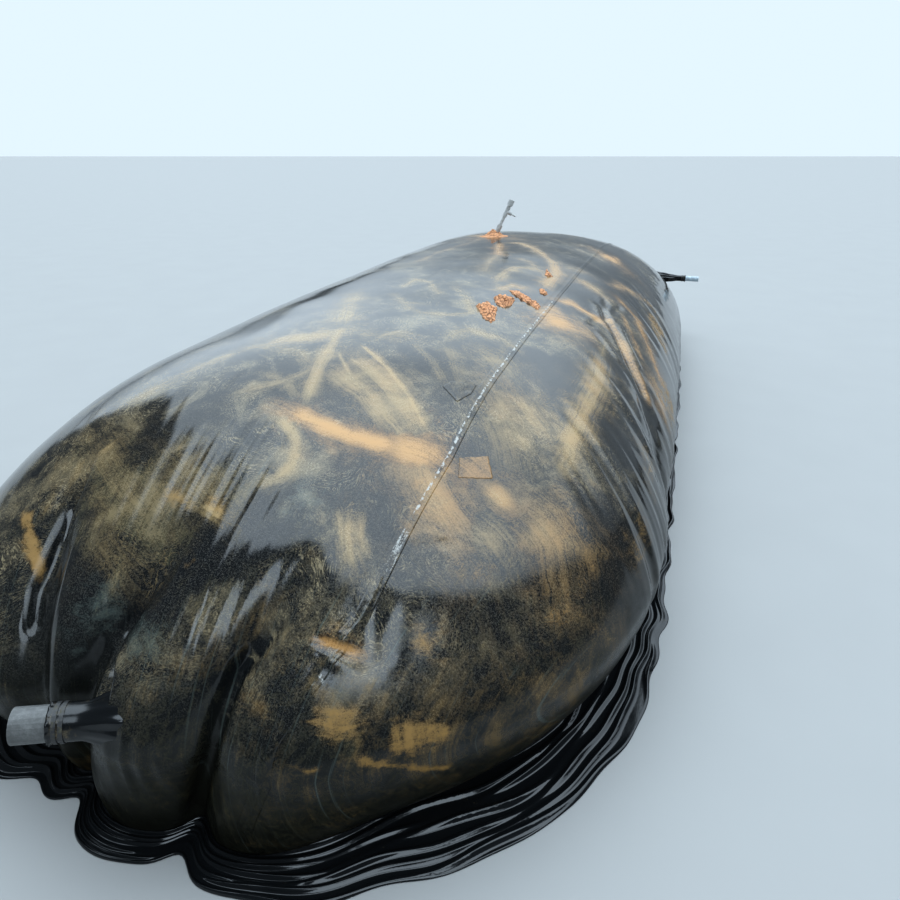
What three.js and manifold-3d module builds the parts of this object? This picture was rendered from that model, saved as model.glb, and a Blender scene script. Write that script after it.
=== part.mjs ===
// A covered biogas digester: a long black polyethylene bag that lies on its flat bottom sheet,
// with a gas outlet riser on its crest, a slurry outlet pipe low in its near end, an inlet pipe
// at its far right shoulder and a welded hem round its foot.
//
// Millimetres. X runs to the right, Y from the near end to the far end, Z up. The origin is the
// middle of the bag's foot, on the floor.

import * as THREE from 'three';
import { mergeVertices } from 'three/addons/utils/BufferGeometryUtils.js';
import Module from 'manifold-3d';

const wasm = await Module();
wasm.setup();

// Driving dimensions of the filled bag
const HALF_LENGTH = 5480;
const HALF_WIDTH = 2100;
const NEAR_ROUNDING = 2430;
const FAR_ROUNDING = 4800;
const NEAR_SQUARENESS = 2.3;
const FAR_SQUARENESS = 3.3;
const SHOULDER_HEIGHT = 546;
const DOME_RISE = 1180;
const DOME_FLATNESS = 2.3;
const DOME_FULLNESS = 1.5;
const DOME_TILT = 0.056;
const DOME_SAG = -0.165;
const FOOT_INSET = 250;

// How much of a pleat's depth is in its narrow hollow
const NARROW_SHARE = 0.55;

// The lobes in the middle of an end spread at their foot, over this width of the end
const LOBE_FOOT_SPREAD = 170;
const LOBE_MIDDLE_X = 200;
const LOBE_HALF_WIDTH = 850;

// The real sheet is a millimetre or so thick. Here it is thick enough to be a solid wall.
const SHEET = 15;
const GAP = 0.3;
const WELD_WIDTH = 70;
const WELD_THICKNESS = 6;
const PATCH_THICKNESS = 5;

// How finely the bag is faceted
const NEAR_STEPS = 24;
const SIDE_STEPS = 8;
const FAR_STEPS = 10;
const DOME_RINGS = 9;
const WALL_RINGS = 4;
const ROUND_SIDES = 24;

// Where the panels of the bag are parted, along Y
const NEAR_CUT = -4300;
const FAR_CUT = 4300;

// Pleats in the gathered ends: where each starts on top, where it reaches the end wall, how deep
// it is there and how wide its narrow and its broad hollow are
const NEAR_PLEATS = [
  { start: [700, -4650], end: [500, -5430], depth: 160, narrow: 70, broad: 200 },
  { start: [180, -4650], end: [-120, -5460], depth: 180, narrow: 75, broad: 220 },
  { start: [-980, -4150], end: [-420, -5400], depth: 150, narrow: 80, broad: 240 },
];

// Between the pleats the end bulges out, and down the wall the pleats swing to the left
const END_BULGE = 50;
const BULGE_START = 4600;
const BULGE_RUN = 700;
const PLEAT_SWING = 170;

// The puckered crease on the right shoulder, which fades out past its end
const CORNER_PUCKER = { start: [1380, -1000], end: [2060, -2600], depth: 45, narrow: 60, broad: 200 };
const PUCKER_FADE = 0.4;

// The long weld runs straight over the top and swings left as it comes down the near end
const WELD_X = 1020;
const BEYOND_END = 6000;
const WELD_PATH = [
  [WELD_X, BEYOND_END],
  [WELD_X, -4080],
  [990, -4470],
  [950, -4930],
  [870, -5150],
  [760, -5360],
  [690, -BEYOND_END],
];

const BLACK_SHEET = { color: 0x24292c, roughness: 0.28, metalness: 0 };
const MUDDY_SHEET = { color: 0x6d6250, roughness: 0.45, metalness: 0 };
const GREY_PIPE = { color: 0x8d9396, roughness: 0.5, metalness: 0 };
const PALE_PIPE = { color: 0x9fb0ba, roughness: 0.5, metalness: 0 };
const RUBBER = { color: 0x2c2d2e, roughness: 0.7, metalness: 0 };

const digester = new THREE.Group();

// Three.js geometry to solid and back

function closedSolid(geometry) {
  const bare = geometry.index ? geometry.toNonIndexed() : geometry.clone();
  bare.deleteAttribute('normal');
  bare.deleteAttribute('uv');
  const merged = mergeVertices(bare, 1e-3);
  const corners = merged.index.array;
  const kept = [];
  for (let i = 0; i < corners.length; i += 3) {
    const [a, b, c] = [corners[i], corners[i + 1], corners[i + 2]];
    if (a !== b && b !== c && c !== a) kept.push(a, b, c);
  }
  const mesh = new wasm.Mesh({
    numProp: 3,
    vertProperties: new Float32Array(merged.attributes.position.array),
    triVerts: new Uint32Array(kept),
  });
  return new wasm.Manifold(mesh);
}

function geometryOf(solid) {
  const mesh = solid.getMesh();
  const geometry = new THREE.BufferGeometry();
  geometry.setAttribute('position', new THREE.BufferAttribute(mesh.vertProperties, 3));
  geometry.setIndex(new THREE.BufferAttribute(mesh.triVerts, 1));
  geometry.computeVertexNormals();
  return geometry;
}

function addNode(name, solid, look) {
  const mesh = new THREE.Mesh(geometryOf(solid), new THREE.MeshStandardMaterial(look));
  mesh.name = name;
  digester.add(mesh);
}

// The bag's shape

function smoothStep(value) {
  const t = Math.min(1, Math.max(0, value));
  return t * t * (3 - 2 * t);
}

// A quarter of the outline, from the middle of an end to where the straight side starts
function endQuarter(direction, rounding, squareness, steps) {
  const points = [];
  for (let i = 0; i <= steps; i += 1) {
    const angle = (i / steps) * Math.PI / 2;
    const along = Math.cos(angle);
    const across = Math.sin(angle);
    const reach = (along ** squareness + across ** squareness) ** (-1 / squareness);
    const spineY = direction * (HALF_LENGTH - rounding);
    const y = spineY + direction * rounding * along * reach;
    points.push({ x: HALF_WIDTH * across * reach, y, spineY });
  }
  return points;
}

// The widest outline of the bag, anticlockwise seen from above, with outward normals
function bagOutline() {
  const nearQuarter = endQuarter(-1, NEAR_ROUNDING, NEAR_SQUARENESS, NEAR_STEPS);
  const farQuarter = endQuarter(1, FAR_ROUNDING, FAR_SQUARENESS, FAR_STEPS).reverse();
  const sideStart = nearQuarter[NEAR_STEPS].y;
  const sideEnd = farQuarter[0].y;
  const side = [];
  for (let i = 1; i < SIDE_STEPS; i += 1) {
    const y = sideStart + (sideEnd - sideStart) * (i / SIDE_STEPS);
    side.push({ x: HALF_WIDTH, y, spineY: y });
  }
  const right = [...nearQuarter, ...side, ...farQuarter];
  const left = right.slice(1, -1).reverse().map((p) => ({ x: -p.x, y: p.y, spineY: p.spineY }));
  const outline = [...right, ...left];
  return outline.map((point, i) => {
    const before = outline[(i + outline.length - 1) % outline.length];
    const after = outline[(i + 1) % outline.length];
    const length = Math.hypot(after.x - before.x, after.y - before.y);
    return { ...point, normalX: (after.y - before.y) / length, normalY: (before.x - after.x) / length };
  });
}

const OUTLINE = bagOutline();

// How far a pleat presses the sheet in at a place seen from above
function pleatDepth(pleat, x, y) {
  const [startX, startY] = pleat.start;
  const lengthX = pleat.end[0] - startX;
  const lengthY = pleat.end[1] - startY;
  const length = Math.hypot(lengthX, lengthY);
  const along = ((x - startX) * lengthX + (y - startY) * lengthY) / length ** 2;
  const across = ((x - startX) * lengthY - (y - startY) * lengthX) / length;
  const narrow = Math.exp(-((across / pleat.narrow) ** 2));
  const broad = Math.exp(-((across / pleat.broad) ** 2));
  const profile = NARROW_SHARE * narrow + (1 - NARROW_SHARE) * broad;
  return pleat.depth * smoothStep(along) * profile;
}

// 1 in the middle of an end, where the lobes are, and 0 away from it
function lobeShare(x) {
  return Math.exp(-(((x - LOBE_MIDDLE_X) / LOBE_HALF_WIDTH) ** 4));
}

// The far end is hidden, so its pleats mirror the near ones
function relief(x, y) {
  let depth = -END_BULGE * lobeShare(x) * smoothStep((Math.abs(y) - BULGE_START) / BULGE_RUN);
  for (const pleat of NEAR_PLEATS) {
    depth += pleatDepth(pleat, x, y) + pleatDepth(pleat, x, -y);
  }
  const alongPucker = (y - CORNER_PUCKER.start[1]) / (CORNER_PUCKER.end[1] - CORNER_PUCKER.start[1]);
  const beforeFaded = 1 + PUCKER_FADE - alongPucker;
  if (alongPucker > 0 && beforeFaded > 0) {
    depth += pleatDepth(CORNER_PUCKER, x, y) * smoothStep(beforeFaded / PUCKER_FADE);
  }
  return depth;
}

// One ring of the bag, from a share of the way out on the dome, or of the way down the wall
function domePoint(point, share, offset) {
  const x = point.x * share;
  const y = point.spineY + (point.y - point.spineY) * share;
  const crest = 1 + DOME_TILT * (y / HALF_LENGTH) + DOME_SAG * (y / HALF_LENGTH) ** 2;
  const fall = Math.max(0, 1 - share ** DOME_FLATNESS) ** (1 / DOME_FULLNESS);
  const outward = share ** 4;
  const upward = 1 - outward;
  const push = (offset - relief(x, y)) / Math.hypot(outward, upward);
  return new THREE.Vector3(
    x + point.normalX * outward * push,
    y + point.normalY * outward * push,
    SHOULDER_HEIGHT + DOME_RISE * crest * fall + upward * push,
  );
}

function wallPoint(point, share, offset, foot) {
  const footInset = FOOT_INSET - LOBE_FOOT_SPREAD * lobeShare(point.x);
  const inset = footInset * share ** 2 + relief(point.x + PLEAT_SWING * share, point.y) - offset;
  return new THREE.Vector3(
    point.x - point.normalX * inset,
    point.y - point.normalY * inset,
    SHOULDER_HEIGHT + (foot - SHOULDER_HEIGHT) * share,
  );
}

// The closed bag, grown or shrunk by an offset, standing on a flat foot at a given height
function bagSolid(offset, foot) {
  const rings = [OUTLINE.map((point) => new THREE.Vector3(0, point.spineY, foot))];
  for (let i = WALL_RINGS; i >= 1; i -= 1) {
    rings.push(OUTLINE.map((point) => wallPoint(point, i / WALL_RINGS, offset, foot)));
  }
  for (let i = DOME_RINGS; i >= 1; i -= 1) {
    const share = Math.sin((i / DOME_RINGS) * Math.PI / 2);
    rings.push(OUTLINE.map((point) => domePoint(point, share, offset)));
  }
  rings.push(OUTLINE.map((point) => domePoint({ ...point, x: 0 }, 0, offset)));
  return closedSolid(ringMesh(rings, false));
}

// Quads between rings of equal length. A band closes on itself from the last ring to the first.
function ringMesh(rings, closesOnItself) {
  const positions = [];
  const last = closesOnItself ? rings.length : rings.length - 1;
  for (let r = 0; r < last; r += 1) {
    const lower = rings[r];
    const upper = rings[(r + 1) % rings.length];
    for (let i = 0; i < lower.length; i += 1) {
      const next = (i + 1) % lower.length;
      for (const corner of [lower[i], lower[next], upper[next], lower[i], upper[next], upper[i]]) {
        positions.push(corner.x, corner.y, corner.z);
      }
    }
  }
  const geometry = new THREE.BufferGeometry();
  geometry.setAttribute('position', new THREE.Float32BufferAttribute(positions, 3));
  return geometry;
}

// Upright prisms that the sheets are cut with

const REACH = 9000;
const ABOVE_ALL = 3000;
const BELOW_FLOOR = -1;

function prism(corners, bottom, top) {
  const shape = new THREE.Shape(corners.map(([x, y]) => new THREE.Vector2(x, y)));
  const geometry = new THREE.ExtrudeGeometry(shape, { depth: top - bottom, bevelEnabled: false });
  geometry.translate(0, 0, bottom);
  return closedSolid(geometry);
}

function slab(lowX, highX, lowY, highY, bottom, top) {
  return prism([[lowX, lowY], [highX, lowY], [highX, highY], [lowX, highY]], bottom, top);
}

// The corners of the strip between two paths, each from far to near and moved sideways
function stripBetween(leftPath, leftShift, rightPath, rightShift) {
  const left = leftPath.map(([x, y]) => [x + leftShift, y]);
  const right = rightPath.map(([x, y]) => [x + rightShift, y]);
  return [...left.reverse(), ...right];
}

const PLEAT_LINE_FAR = -3700;
const PLEAT_LINE_NEAR = -5650;

// A pleat's line carried on past both of its ends, from far to near
function pleatPath(pleat) {
  const [x0, y0] = pleat.start;
  const [x1, y1] = pleat.end;
  const lean = (x1 - x0) / (y1 - y0);
  return [PLEAT_LINE_FAR, PLEAT_LINE_NEAR].map((y) => [x0 + lean * (y - y0), y]);
}

const LEFT_EDGE = [[-REACH / 2, BEYOND_END], [-REACH / 2, -BEYOND_END]];
const RIGHT_EDGE = [[REACH / 2, BEYOND_END], [REACH / 2, -BEYOND_END]];

// Round pieces on an axis

function aimed(geometry, from, direction) {
  const up = new THREE.Vector3(0, 1, 0);
  geometry.applyQuaternion(new THREE.Quaternion().setFromUnitVectors(up, direction));
  geometry.translate(from.x, from.y, from.z);
  return closedSolid(geometry);
}

function pointOn(from, direction, distance) {
  return from.clone().addScaledVector(direction, distance);
}

// A solid bar between two distances on an axis
function bar(radius, from, direction, start, end, sides = ROUND_SIDES) {
  const geometry = new THREE.CylinderGeometry(radius, radius, end - start, sides);
  geometry.translate(0, (end - start) / 2, 0);
  return aimed(geometry, pointOn(from, direction, start), direction);
}

// A tube between two distances on an axis
function tube(outer, inner, from, direction, start, end) {
  const geometry = new THREE.LatheGeometry([
    new THREE.Vector2(inner, start),
    new THREE.Vector2(outer, start),
    new THREE.Vector2(outer, end),
    new THREE.Vector2(inner, end),
    new THREE.Vector2(inner, start),
  ], ROUND_SIDES);
  return aimed(geometry, from, direction);
}

// The bag's shell and what is cut through it

const bagOuter = bagSolid(0, 0);
const bagInner = bagSolid(-SHEET, -SHEET);
const justOutside = bagSolid(GAP, 0);

function layerOnBag(inner, outer) {
  return bagSolid(outer, 0).subtract(bagSolid(inner, -SHEET));
}

// The riser leans to the right, away from the crest
const RISER_FOOT = new THREE.Vector3(-171, 1086, 1700);
const RISER_LEAN = THREE.MathUtils.degToRad(25);
const RISER_HEADING = THREE.MathUtils.degToRad(18);
const RISER_AXIS = new THREE.Vector3(
  Math.sin(RISER_LEAN) * Math.cos(RISER_HEADING),
  Math.sin(RISER_LEAN) * Math.sin(RISER_HEADING),
  Math.cos(RISER_LEAN),
);
const FITTING_RADIUS = 30;
const RISER_RADIUS = 17;
const RISER_BORE = 14;

// The outlet pipe leaves the second pleat of the near end, and the inlet pipe the far shoulder
const OUTLET_FOOT = new THREE.Vector3(30, -5410, 620);
const OUTLET_AXIS = new THREE.Vector3(-0.84, -0.52, 0.12).normalize();
const OUTLET_RADIUS = 70;
const OUTLET_BORE = 65;
const INLET_FOOT = new THREE.Vector3(1640, 3980, 880);
const INLET_AXIS = new THREE.Vector3(1, 0, 0);
const INLET_RADIUS = 37.5;
const INLET_BORE = 34;
const HOLE_REACH = 300;

function holeFor(radius, foot, axis) {
  return bar(radius + GAP, foot, axis, -HOLE_REACH, HOLE_REACH);
}

function sheetShell() {
  const fittingHole = holeFor(FITTING_RADIUS, RISER_FOOT, RISER_AXIS);
  const outletHole = holeFor(OUTLET_RADIUS, OUTLET_FOOT, OUTLET_AXIS);
  const inletHole = holeFor(INLET_RADIUS, INLET_FOOT, INLET_AXIS);
  return bagOuter
    .subtract(bagInner)
    .subtract(fittingHole)
    .subtract(outletHole)
    .subtract(inletHole);
}

function addSheets() {
  const shell = sheetShell();
  const half = GAP / 2;
  const lowest = SHEET + GAP;
  const highest = ABOVE_ALL;
  const shoulder = SHOULDER_HEIGHT;
  const [first, second, third] = NEAR_PLEATS.map(pleatPath);
  const nearRegion = slab(-REACH, REACH, -REACH, NEAR_CUT - half, lowest, highest);
  const farRegion = slab(-REACH, REACH, FAR_CUT + half, REACH, lowest, highest);
  const middleTop = slab(-REACH, REACH, NEAR_CUT + half, FAR_CUT - half, shoulder + half, highest);
  const middleWall = slab(-REACH, REACH, NEAR_CUT + half, FAR_CUT - half, lowest, shoulder - half);
  const leftOfWeld = prism(stripBetween(LEFT_EDGE, 0, WELD_PATH, -half), 0, highest);
  const rightOfWeld = prism(stripBetween(WELD_PATH, half, RIGHT_EDGE, 0), 0, highest);

  function panel(name, ...regions) {
    let piece = shell;
    for (const region of regions) piece = piece.intersect(region);
    addNode(name, piece, BLACK_SHEET);
  }

  panel('top_sheet_left', middleTop, leftOfWeld);
  panel('top_sheet_right', middleTop, rightOfWeld);
  panel('left_wall_sheet', middleWall, slab(-REACH, 0, -REACH, REACH, 0, highest));
  panel('right_wall_sheet', middleWall, slab(0, REACH, -REACH, REACH, 0, highest));
  panel('near_end_right', nearRegion, rightOfWeld);
  panel('near_end_lobe_1', nearRegion, prism(stripBetween(first, half, WELD_PATH, -half), 0, highest));
  panel('near_end_lobe_2', nearRegion, prism(stripBetween(second, half, first, -half), 0, highest));
  panel('near_end_lobe_3', nearRegion, prism(stripBetween(third, half, second, -half), 0, highest));
  panel('near_end_left', nearRegion, prism(stripBetween(LEFT_EDGE, 0, third, -half), 0, highest));
  panel('far_end_left', farRegion, leftOfWeld);
  panel('far_end_right', farRegion, rightOfWeld);
  const lowestSlab = slab(-REACH, REACH, -REACH, REACH, BELOW_FLOOR, SHEET);
  addNode('bottom_sheet', bagOuter.intersect(lowestSlab), BLACK_SHEET);
}

// What lies on the sheet: the lapped long weld and two patches

const WELD_END_HEIGHT = 70;
const PATCH_LOWEST = 500;
const SCUFFED_PATCH = [[820, -3590], [845, -3500], [975, -3455], [975, -3560], [935, -3680]];
const SMOOTH_PATCH = [[1070, -4060], [1190, -3965], [1245, -4080], [1105, -4175]];

function addWeldAndPatches() {
  const weldLayer = layerOnBag(GAP, GAP + WELD_THICKNESS);
  const weldStrip = prism(
    stripBetween(WELD_PATH, -WELD_WIDTH / 2, WELD_PATH, WELD_WIDTH / 2),
    WELD_END_HEIGHT,
    ABOVE_ALL,
  );
  addNode('long_weld', weldLayer.intersect(weldStrip), BLACK_SHEET);

  const patchLayer = layerOnBag(GAP, GAP + PATCH_THICKNESS);
  const scuffed = prism(SCUFFED_PATCH, PATCH_LOWEST, ABOVE_ALL);
  const smooth = prism(SMOOTH_PATCH, PATCH_LOWEST, ABOVE_ALL);
  addNode('scuffed_patch', patchLayer.intersect(scuffed), MUDDY_SHEET);
  addNode('smooth_patch', patchLayer.intersect(smooth), MUDDY_SHEET);
}

// The welded hem, which lies on the floor round the foot in loose folds and is widest at the
// right of the near end

const HEM_REACH = 130;
const NARROW_HEM_SHARE = 0.55;
const HEM_THICKNESS = 12;
const HEM_TOP = 200;

// From under the bag's foot to the free edge, and how high the sheet is folded up there
const HEM_STATIONS = [-FOOT_INSET - 60, -FOOT_INSET + 20, -150, -60, 30, HEM_REACH];
const HEM_FOLDS = [0, 0, 36, 4, 46, 0];

// The folds rise and fall round the bag by up to this share, and the hem follows the pleats
const HEM_WAVE = 0.25;
const HEM_WAVE_TURNS = [1.3, 0.45];
const PLEAT_SHARE_OF_HEM = 0.6;

// Where the wide part of the hem begins: to the right of one line and nearer than another
const WIDE_HEM_X = 300;
const WIDE_HEM_X_RUN = 500;
const WIDE_HEM_Y = -3600;
const WIDE_HEM_Y_RUN = 800;

function hemWidthShare(x, y) {
  const toTheRight = smoothStep((x - WIDE_HEM_X) / WIDE_HEM_X_RUN);
  const atNearEnd = smoothStep((WIDE_HEM_Y - y) / WIDE_HEM_Y_RUN);
  return NARROW_HEM_SHARE + (1 - NARROW_HEM_SHARE) * toTheRight * atNearEnd;
}

function hemRing() {
  const profiles = OUTLINE.map((point, i) => {
    const swell = Math.sin(i * HEM_WAVE_TURNS[0]) * Math.cos(i * HEM_WAVE_TURNS[1]);
    const wave = 1 - HEM_WAVE + HEM_WAVE * swell;
    const inward = relief(point.x + PLEAT_SWING, point.y) * PLEAT_SHARE_OF_HEM;
    const widthShare = hemWidthShare(point.x, point.y);
    const place = (station, height) => {
      const out = Math.min(station, station * widthShare) - inward;
      return new THREE.Vector3(point.x + point.normalX * out, point.y + point.normalY * out, height);
    };
    const lower = HEM_STATIONS.map((station, s) => place(station, HEM_FOLDS[s] * wave));
    const upper = HEM_STATIONS.map((station, s) => place(station, HEM_FOLDS[s] * wave + HEM_THICKNESS));
    return [...upper, ...lower.reverse()];
  });
  return closedSolid(ringMesh(profiles, true));
}

function addHem() {
  const hem = hemRing().subtract(justOutside);
  const half = GAP / 2;
  const parts = {
    near_hem: slab(-REACH, REACH, -REACH, NEAR_CUT - half, BELOW_FLOOR, HEM_TOP),
    far_hem: slab(-REACH, REACH, FAR_CUT + half, REACH, BELOW_FLOOR, HEM_TOP),
    left_hem: slab(-REACH, 0, NEAR_CUT + half, FAR_CUT - half, BELOW_FLOOR, HEM_TOP),
    right_hem: slab(0, REACH, NEAR_CUT + half, FAR_CUT - half, BELOW_FLOOR, HEM_TOP),
  };
  for (const [name, region] of Object.entries(parts)) addNode(name, hem.intersect(region), BLACK_SHEET);
}

// The gas outlet riser on the crest. Each piece runs between two distances along the riser.

const BASE_PATCH_RADIUS = 170;
const FLANGE = { radius: 80, thickness: 12 };
const NUT = { radius: 48, start: -20, end: 62 };
const FITTING = { start: -60, end: 170 };
const LOWER_PIPE = { start: 90, end: 300 };
const TEE = { radius: 24, start: 270, end: 390, branchAt: 330, branchRadius: 20, branchLength: 62 };
const NIPPLE = { radius: 10, bore: 6.5, start: 24, end: 118 };
const UPPER_PIPE = { start: 360, end: 440 };
const CAP = { radius: 33, start: 400, end: 470 };
const CUT_MARGIN = 20;

function addRiser() {
  const onAxis = [RISER_FOOT, RISER_AXIS];
  const upright = new THREE.Vector3(0, 0, 1);
  const hole = holeFor(FITTING_RADIUS, ...onAxis);
  const patchTop = GAP + PATCH_THICKNESS;
  const flangeTop = patchTop + GAP + FLANGE.thickness;
  const patchBar = bar(BASE_PATCH_RADIUS, RISER_FOOT, upright, -HOLE_REACH, HOLE_REACH);
  const flangeBar = bar(FLANGE.radius, RISER_FOOT, upright, -HOLE_REACH, HOLE_REACH);
  const patch = layerOnBag(GAP, patchTop).intersect(patchBar);
  const flange = layerOnBag(patchTop + GAP, flangeTop).intersect(flangeBar);
  addNode('riser_base_patch', patch.subtract(hole), MUDDY_SHEET);
  addNode('riser_flange', flange.subtract(hole), GREY_PIPE);

  const nut = tube(NUT.radius, FITTING_RADIUS + GAP, ...onAxis, NUT.start, NUT.end);
  const fitting = tube(FITTING_RADIUS, RISER_RADIUS + GAP, ...onAxis, FITTING.start, FITTING.end);
  const lowerPipe = tube(RISER_RADIUS, RISER_BORE, ...onAxis, LOWER_PIPE.start, LOWER_PIPE.end);
  addNode('riser_nut', nut.subtract(bagSolid(flangeTop + GAP, 0)), GREY_PIPE);
  addNode('riser_fitting', fitting, GREY_PIPE);
  addNode('riser_lower_pipe', lowerPipe, GREY_PIPE);

  const teeCentre = pointOn(RISER_FOOT, RISER_AXIS, TEE.branchAt);
  const side = new THREE.Vector3(0, -1, 0).cross(RISER_AXIS).normalize().negate();
  const branch = bar(TEE.branchRadius, teeCentre, side, 0, TEE.branchLength);
  const pipeHole = bar(RISER_RADIUS + GAP, ...onAxis, TEE.start - CUT_MARGIN, TEE.end + CUT_MARGIN);
  const branchHole = bar(NIPPLE.radius + GAP, teeCentre, side, 0, TEE.branchLength + CUT_MARGIN);
  const teeBody = bar(TEE.radius, ...onAxis, TEE.start, TEE.end).add(branch);
  addNode('riser_tee', teeBody.subtract(pipeHole).subtract(branchHole), GREY_PIPE);
  const nipple = tube(NIPPLE.radius, NIPPLE.bore, teeCentre, side, NIPPLE.start, NIPPLE.end);
  addNode('hose_nipple', nipple, GREY_PIPE);

  const upperPipe = tube(RISER_RADIUS, RISER_BORE, ...onAxis, UPPER_PIPE.start, UPPER_PIPE.end);
  const socket = bar(RISER_RADIUS + GAP, ...onAxis, CAP.start - CUT_MARGIN, UPPER_PIPE.end + GAP);
  addNode('riser_upper_pipe', upperPipe, GREY_PIPE);
  addNode('riser_cap', bar(CAP.radius, ...onAxis, CAP.start, CAP.end).subtract(socket), GREY_PIPE);
}

// A slurry pipe with the sheet sleeve that seals it and the two straps that hold the sleeve

const STRAP_THICKNESS = 3;
const STRAP_WIDTH = 16;
const STRAP_PLACES = [-47, -23];
const SLEEVE_THICKNESS = 5;
const SLEEVE_FLARE = 38;
const SLEEVE_ROOT = -120;
const SLEEVE_TAPER_START = 20;
const SLEEVE_CUFF = 90;
const PIPE_ROOT = -150;
const OUTLET = {
  foot: OUTLET_FOOT, axis: OUTLET_AXIS, radius: OUTLET_RADIUS, bore: OUTLET_BORE, length: 300, sleeve: 160,
};
const INLET = {
  foot: INLET_FOOT, axis: INLET_AXIS, radius: INLET_RADIUS, bore: INLET_BORE, length: 620, sleeve: 420,
};

function addPipe(prefix, pipe, look) {
  const { foot, axis, radius, bore, length, sleeve } = pipe;
  addNode(`${prefix}_pipe`, tube(radius, bore, foot, axis, PIPE_ROOT, length), look);
  const inner = radius + GAP;
  const outer = inner + SLEEVE_THICKNESS;
  const flare = outer + SLEEVE_FLARE;
  const sleeveShape = new THREE.LatheGeometry([
    new THREE.Vector2(inner, SLEEVE_ROOT),
    new THREE.Vector2(flare, SLEEVE_ROOT),
    new THREE.Vector2(flare, SLEEVE_TAPER_START),
    new THREE.Vector2(outer, sleeve - SLEEVE_CUFF),
    new THREE.Vector2(outer, sleeve),
    new THREE.Vector2(inner, sleeve),
    new THREE.Vector2(inner, SLEEVE_ROOT),
  ], ROUND_SIDES);
  addNode(`${prefix}_sleeve`, aimed(sleeveShape, foot, axis).subtract(justOutside), BLACK_SHEET);
  const onSleeve = outer + GAP;
  for (const [i, place] of STRAP_PLACES.entries()) {
    const start = sleeve + place;
    const strap = tube(onSleeve + STRAP_THICKNESS, onSleeve, foot, axis, start, start + STRAP_WIDTH);
    addNode(`${prefix}_strap_${i + 1}`, strap, RUBBER);
  }
}

addSheets();
addWeldAndPatches();
addHem();
addRiser();
addPipe('outlet', OUTLET, GREY_PIPE);
addPipe('inlet', INLET, PALE_PIPE);

export default digester;
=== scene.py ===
"""Looks of the covered biogas digester: its black welded sheet with dried mud on it, the hem, the
riser, the two slurry pipes, and a plain stage. Metres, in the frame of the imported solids."""

import math

import bpy
import numpy as np
from bpy.props import FloatProperty, FloatVectorProperty, IntProperty, PointerProperty
from bpy.types import Operator, Panel, PropertyGroup
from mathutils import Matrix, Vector
from mathutils.bvhtree import BVHTree


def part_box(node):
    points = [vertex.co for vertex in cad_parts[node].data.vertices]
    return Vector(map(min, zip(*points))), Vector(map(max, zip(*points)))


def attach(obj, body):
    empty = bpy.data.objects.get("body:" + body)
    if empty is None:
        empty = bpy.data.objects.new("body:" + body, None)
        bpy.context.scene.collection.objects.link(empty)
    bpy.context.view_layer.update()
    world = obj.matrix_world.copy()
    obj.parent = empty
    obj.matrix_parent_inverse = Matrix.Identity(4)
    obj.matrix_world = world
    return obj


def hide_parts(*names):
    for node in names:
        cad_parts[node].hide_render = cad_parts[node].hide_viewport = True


bl_info = {
    "name": "Covered biogas digester",
    "version": (1, 0, 0),
    "blender": (4, 5, 0),
    "location": "3D View > Sidebar > Digester",
    "description": "Dresses the packed solids of a covered biogas digester",
    "category": "Add Mesh",
}

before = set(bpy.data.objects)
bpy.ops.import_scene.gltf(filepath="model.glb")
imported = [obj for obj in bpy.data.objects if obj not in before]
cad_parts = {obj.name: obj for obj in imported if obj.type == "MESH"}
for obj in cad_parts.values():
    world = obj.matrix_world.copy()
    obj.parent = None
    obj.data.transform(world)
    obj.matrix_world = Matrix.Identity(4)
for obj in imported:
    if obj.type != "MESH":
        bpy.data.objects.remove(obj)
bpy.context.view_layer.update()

# The photograph's side in pixels, and a length that is too short to divide by
PHOTO_SIDE = 900
TINY = 1e-9

# Where rays start, above and beyond the whole bag, and the way that most of them go
ABOVE_ALL = 3.0
BEYOND_ENDS = 7.0
DOWN = Vector((0, 0, -1))

# The solids that the bag's one mesh stands for
BAG_PANELS = [
    "top_sheet_left",
    "top_sheet_right",
    "left_wall_sheet",
    "right_wall_sheet",
    "near_end_right",
    "near_end_lobe_1",
    "near_end_lobe_2",
    "near_end_lobe_3",
    "near_end_left",
    "far_end_left",
    "far_end_right",
    "bottom_sheet",
]

# The riser's solids, from its foot upward
RISER_NODES = [
    "riser_flange",
    "riser_nut",
    "riser_fitting",
    "riser_lower_pipe",
    "riser_tee",
    "hose_nipple",
    "riser_upper_pipe",
    "riser_cap",
]

# Pleats of the gathered near end, in plan: start, end, depth, narrow and broad hollow
NEAR_PLEATS = [
    ((0.700, -4.650), (0.500, -5.430), 0.160, 0.070, 0.200),
    ((0.180, -4.650), (-0.120, -5.460), 0.180, 0.075, 0.220),
    ((-0.980, -4.150), (-0.420, -5.400), 0.150, 0.080, 0.240),
]
CORNER_PUCKER = ((1.380, -1.000), (2.060, -2.600), 0.045, 0.060, 0.200)

# The long weld in plan, from far to near
WELD_PATH = [
    (1.020, 6.000),
    (1.020, -4.080),
    (0.990, -4.470),
    (0.950, -4.930),
    (0.870, -5.150),
    (0.760, -5.360),
    (0.690, -6.000),
]

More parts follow.
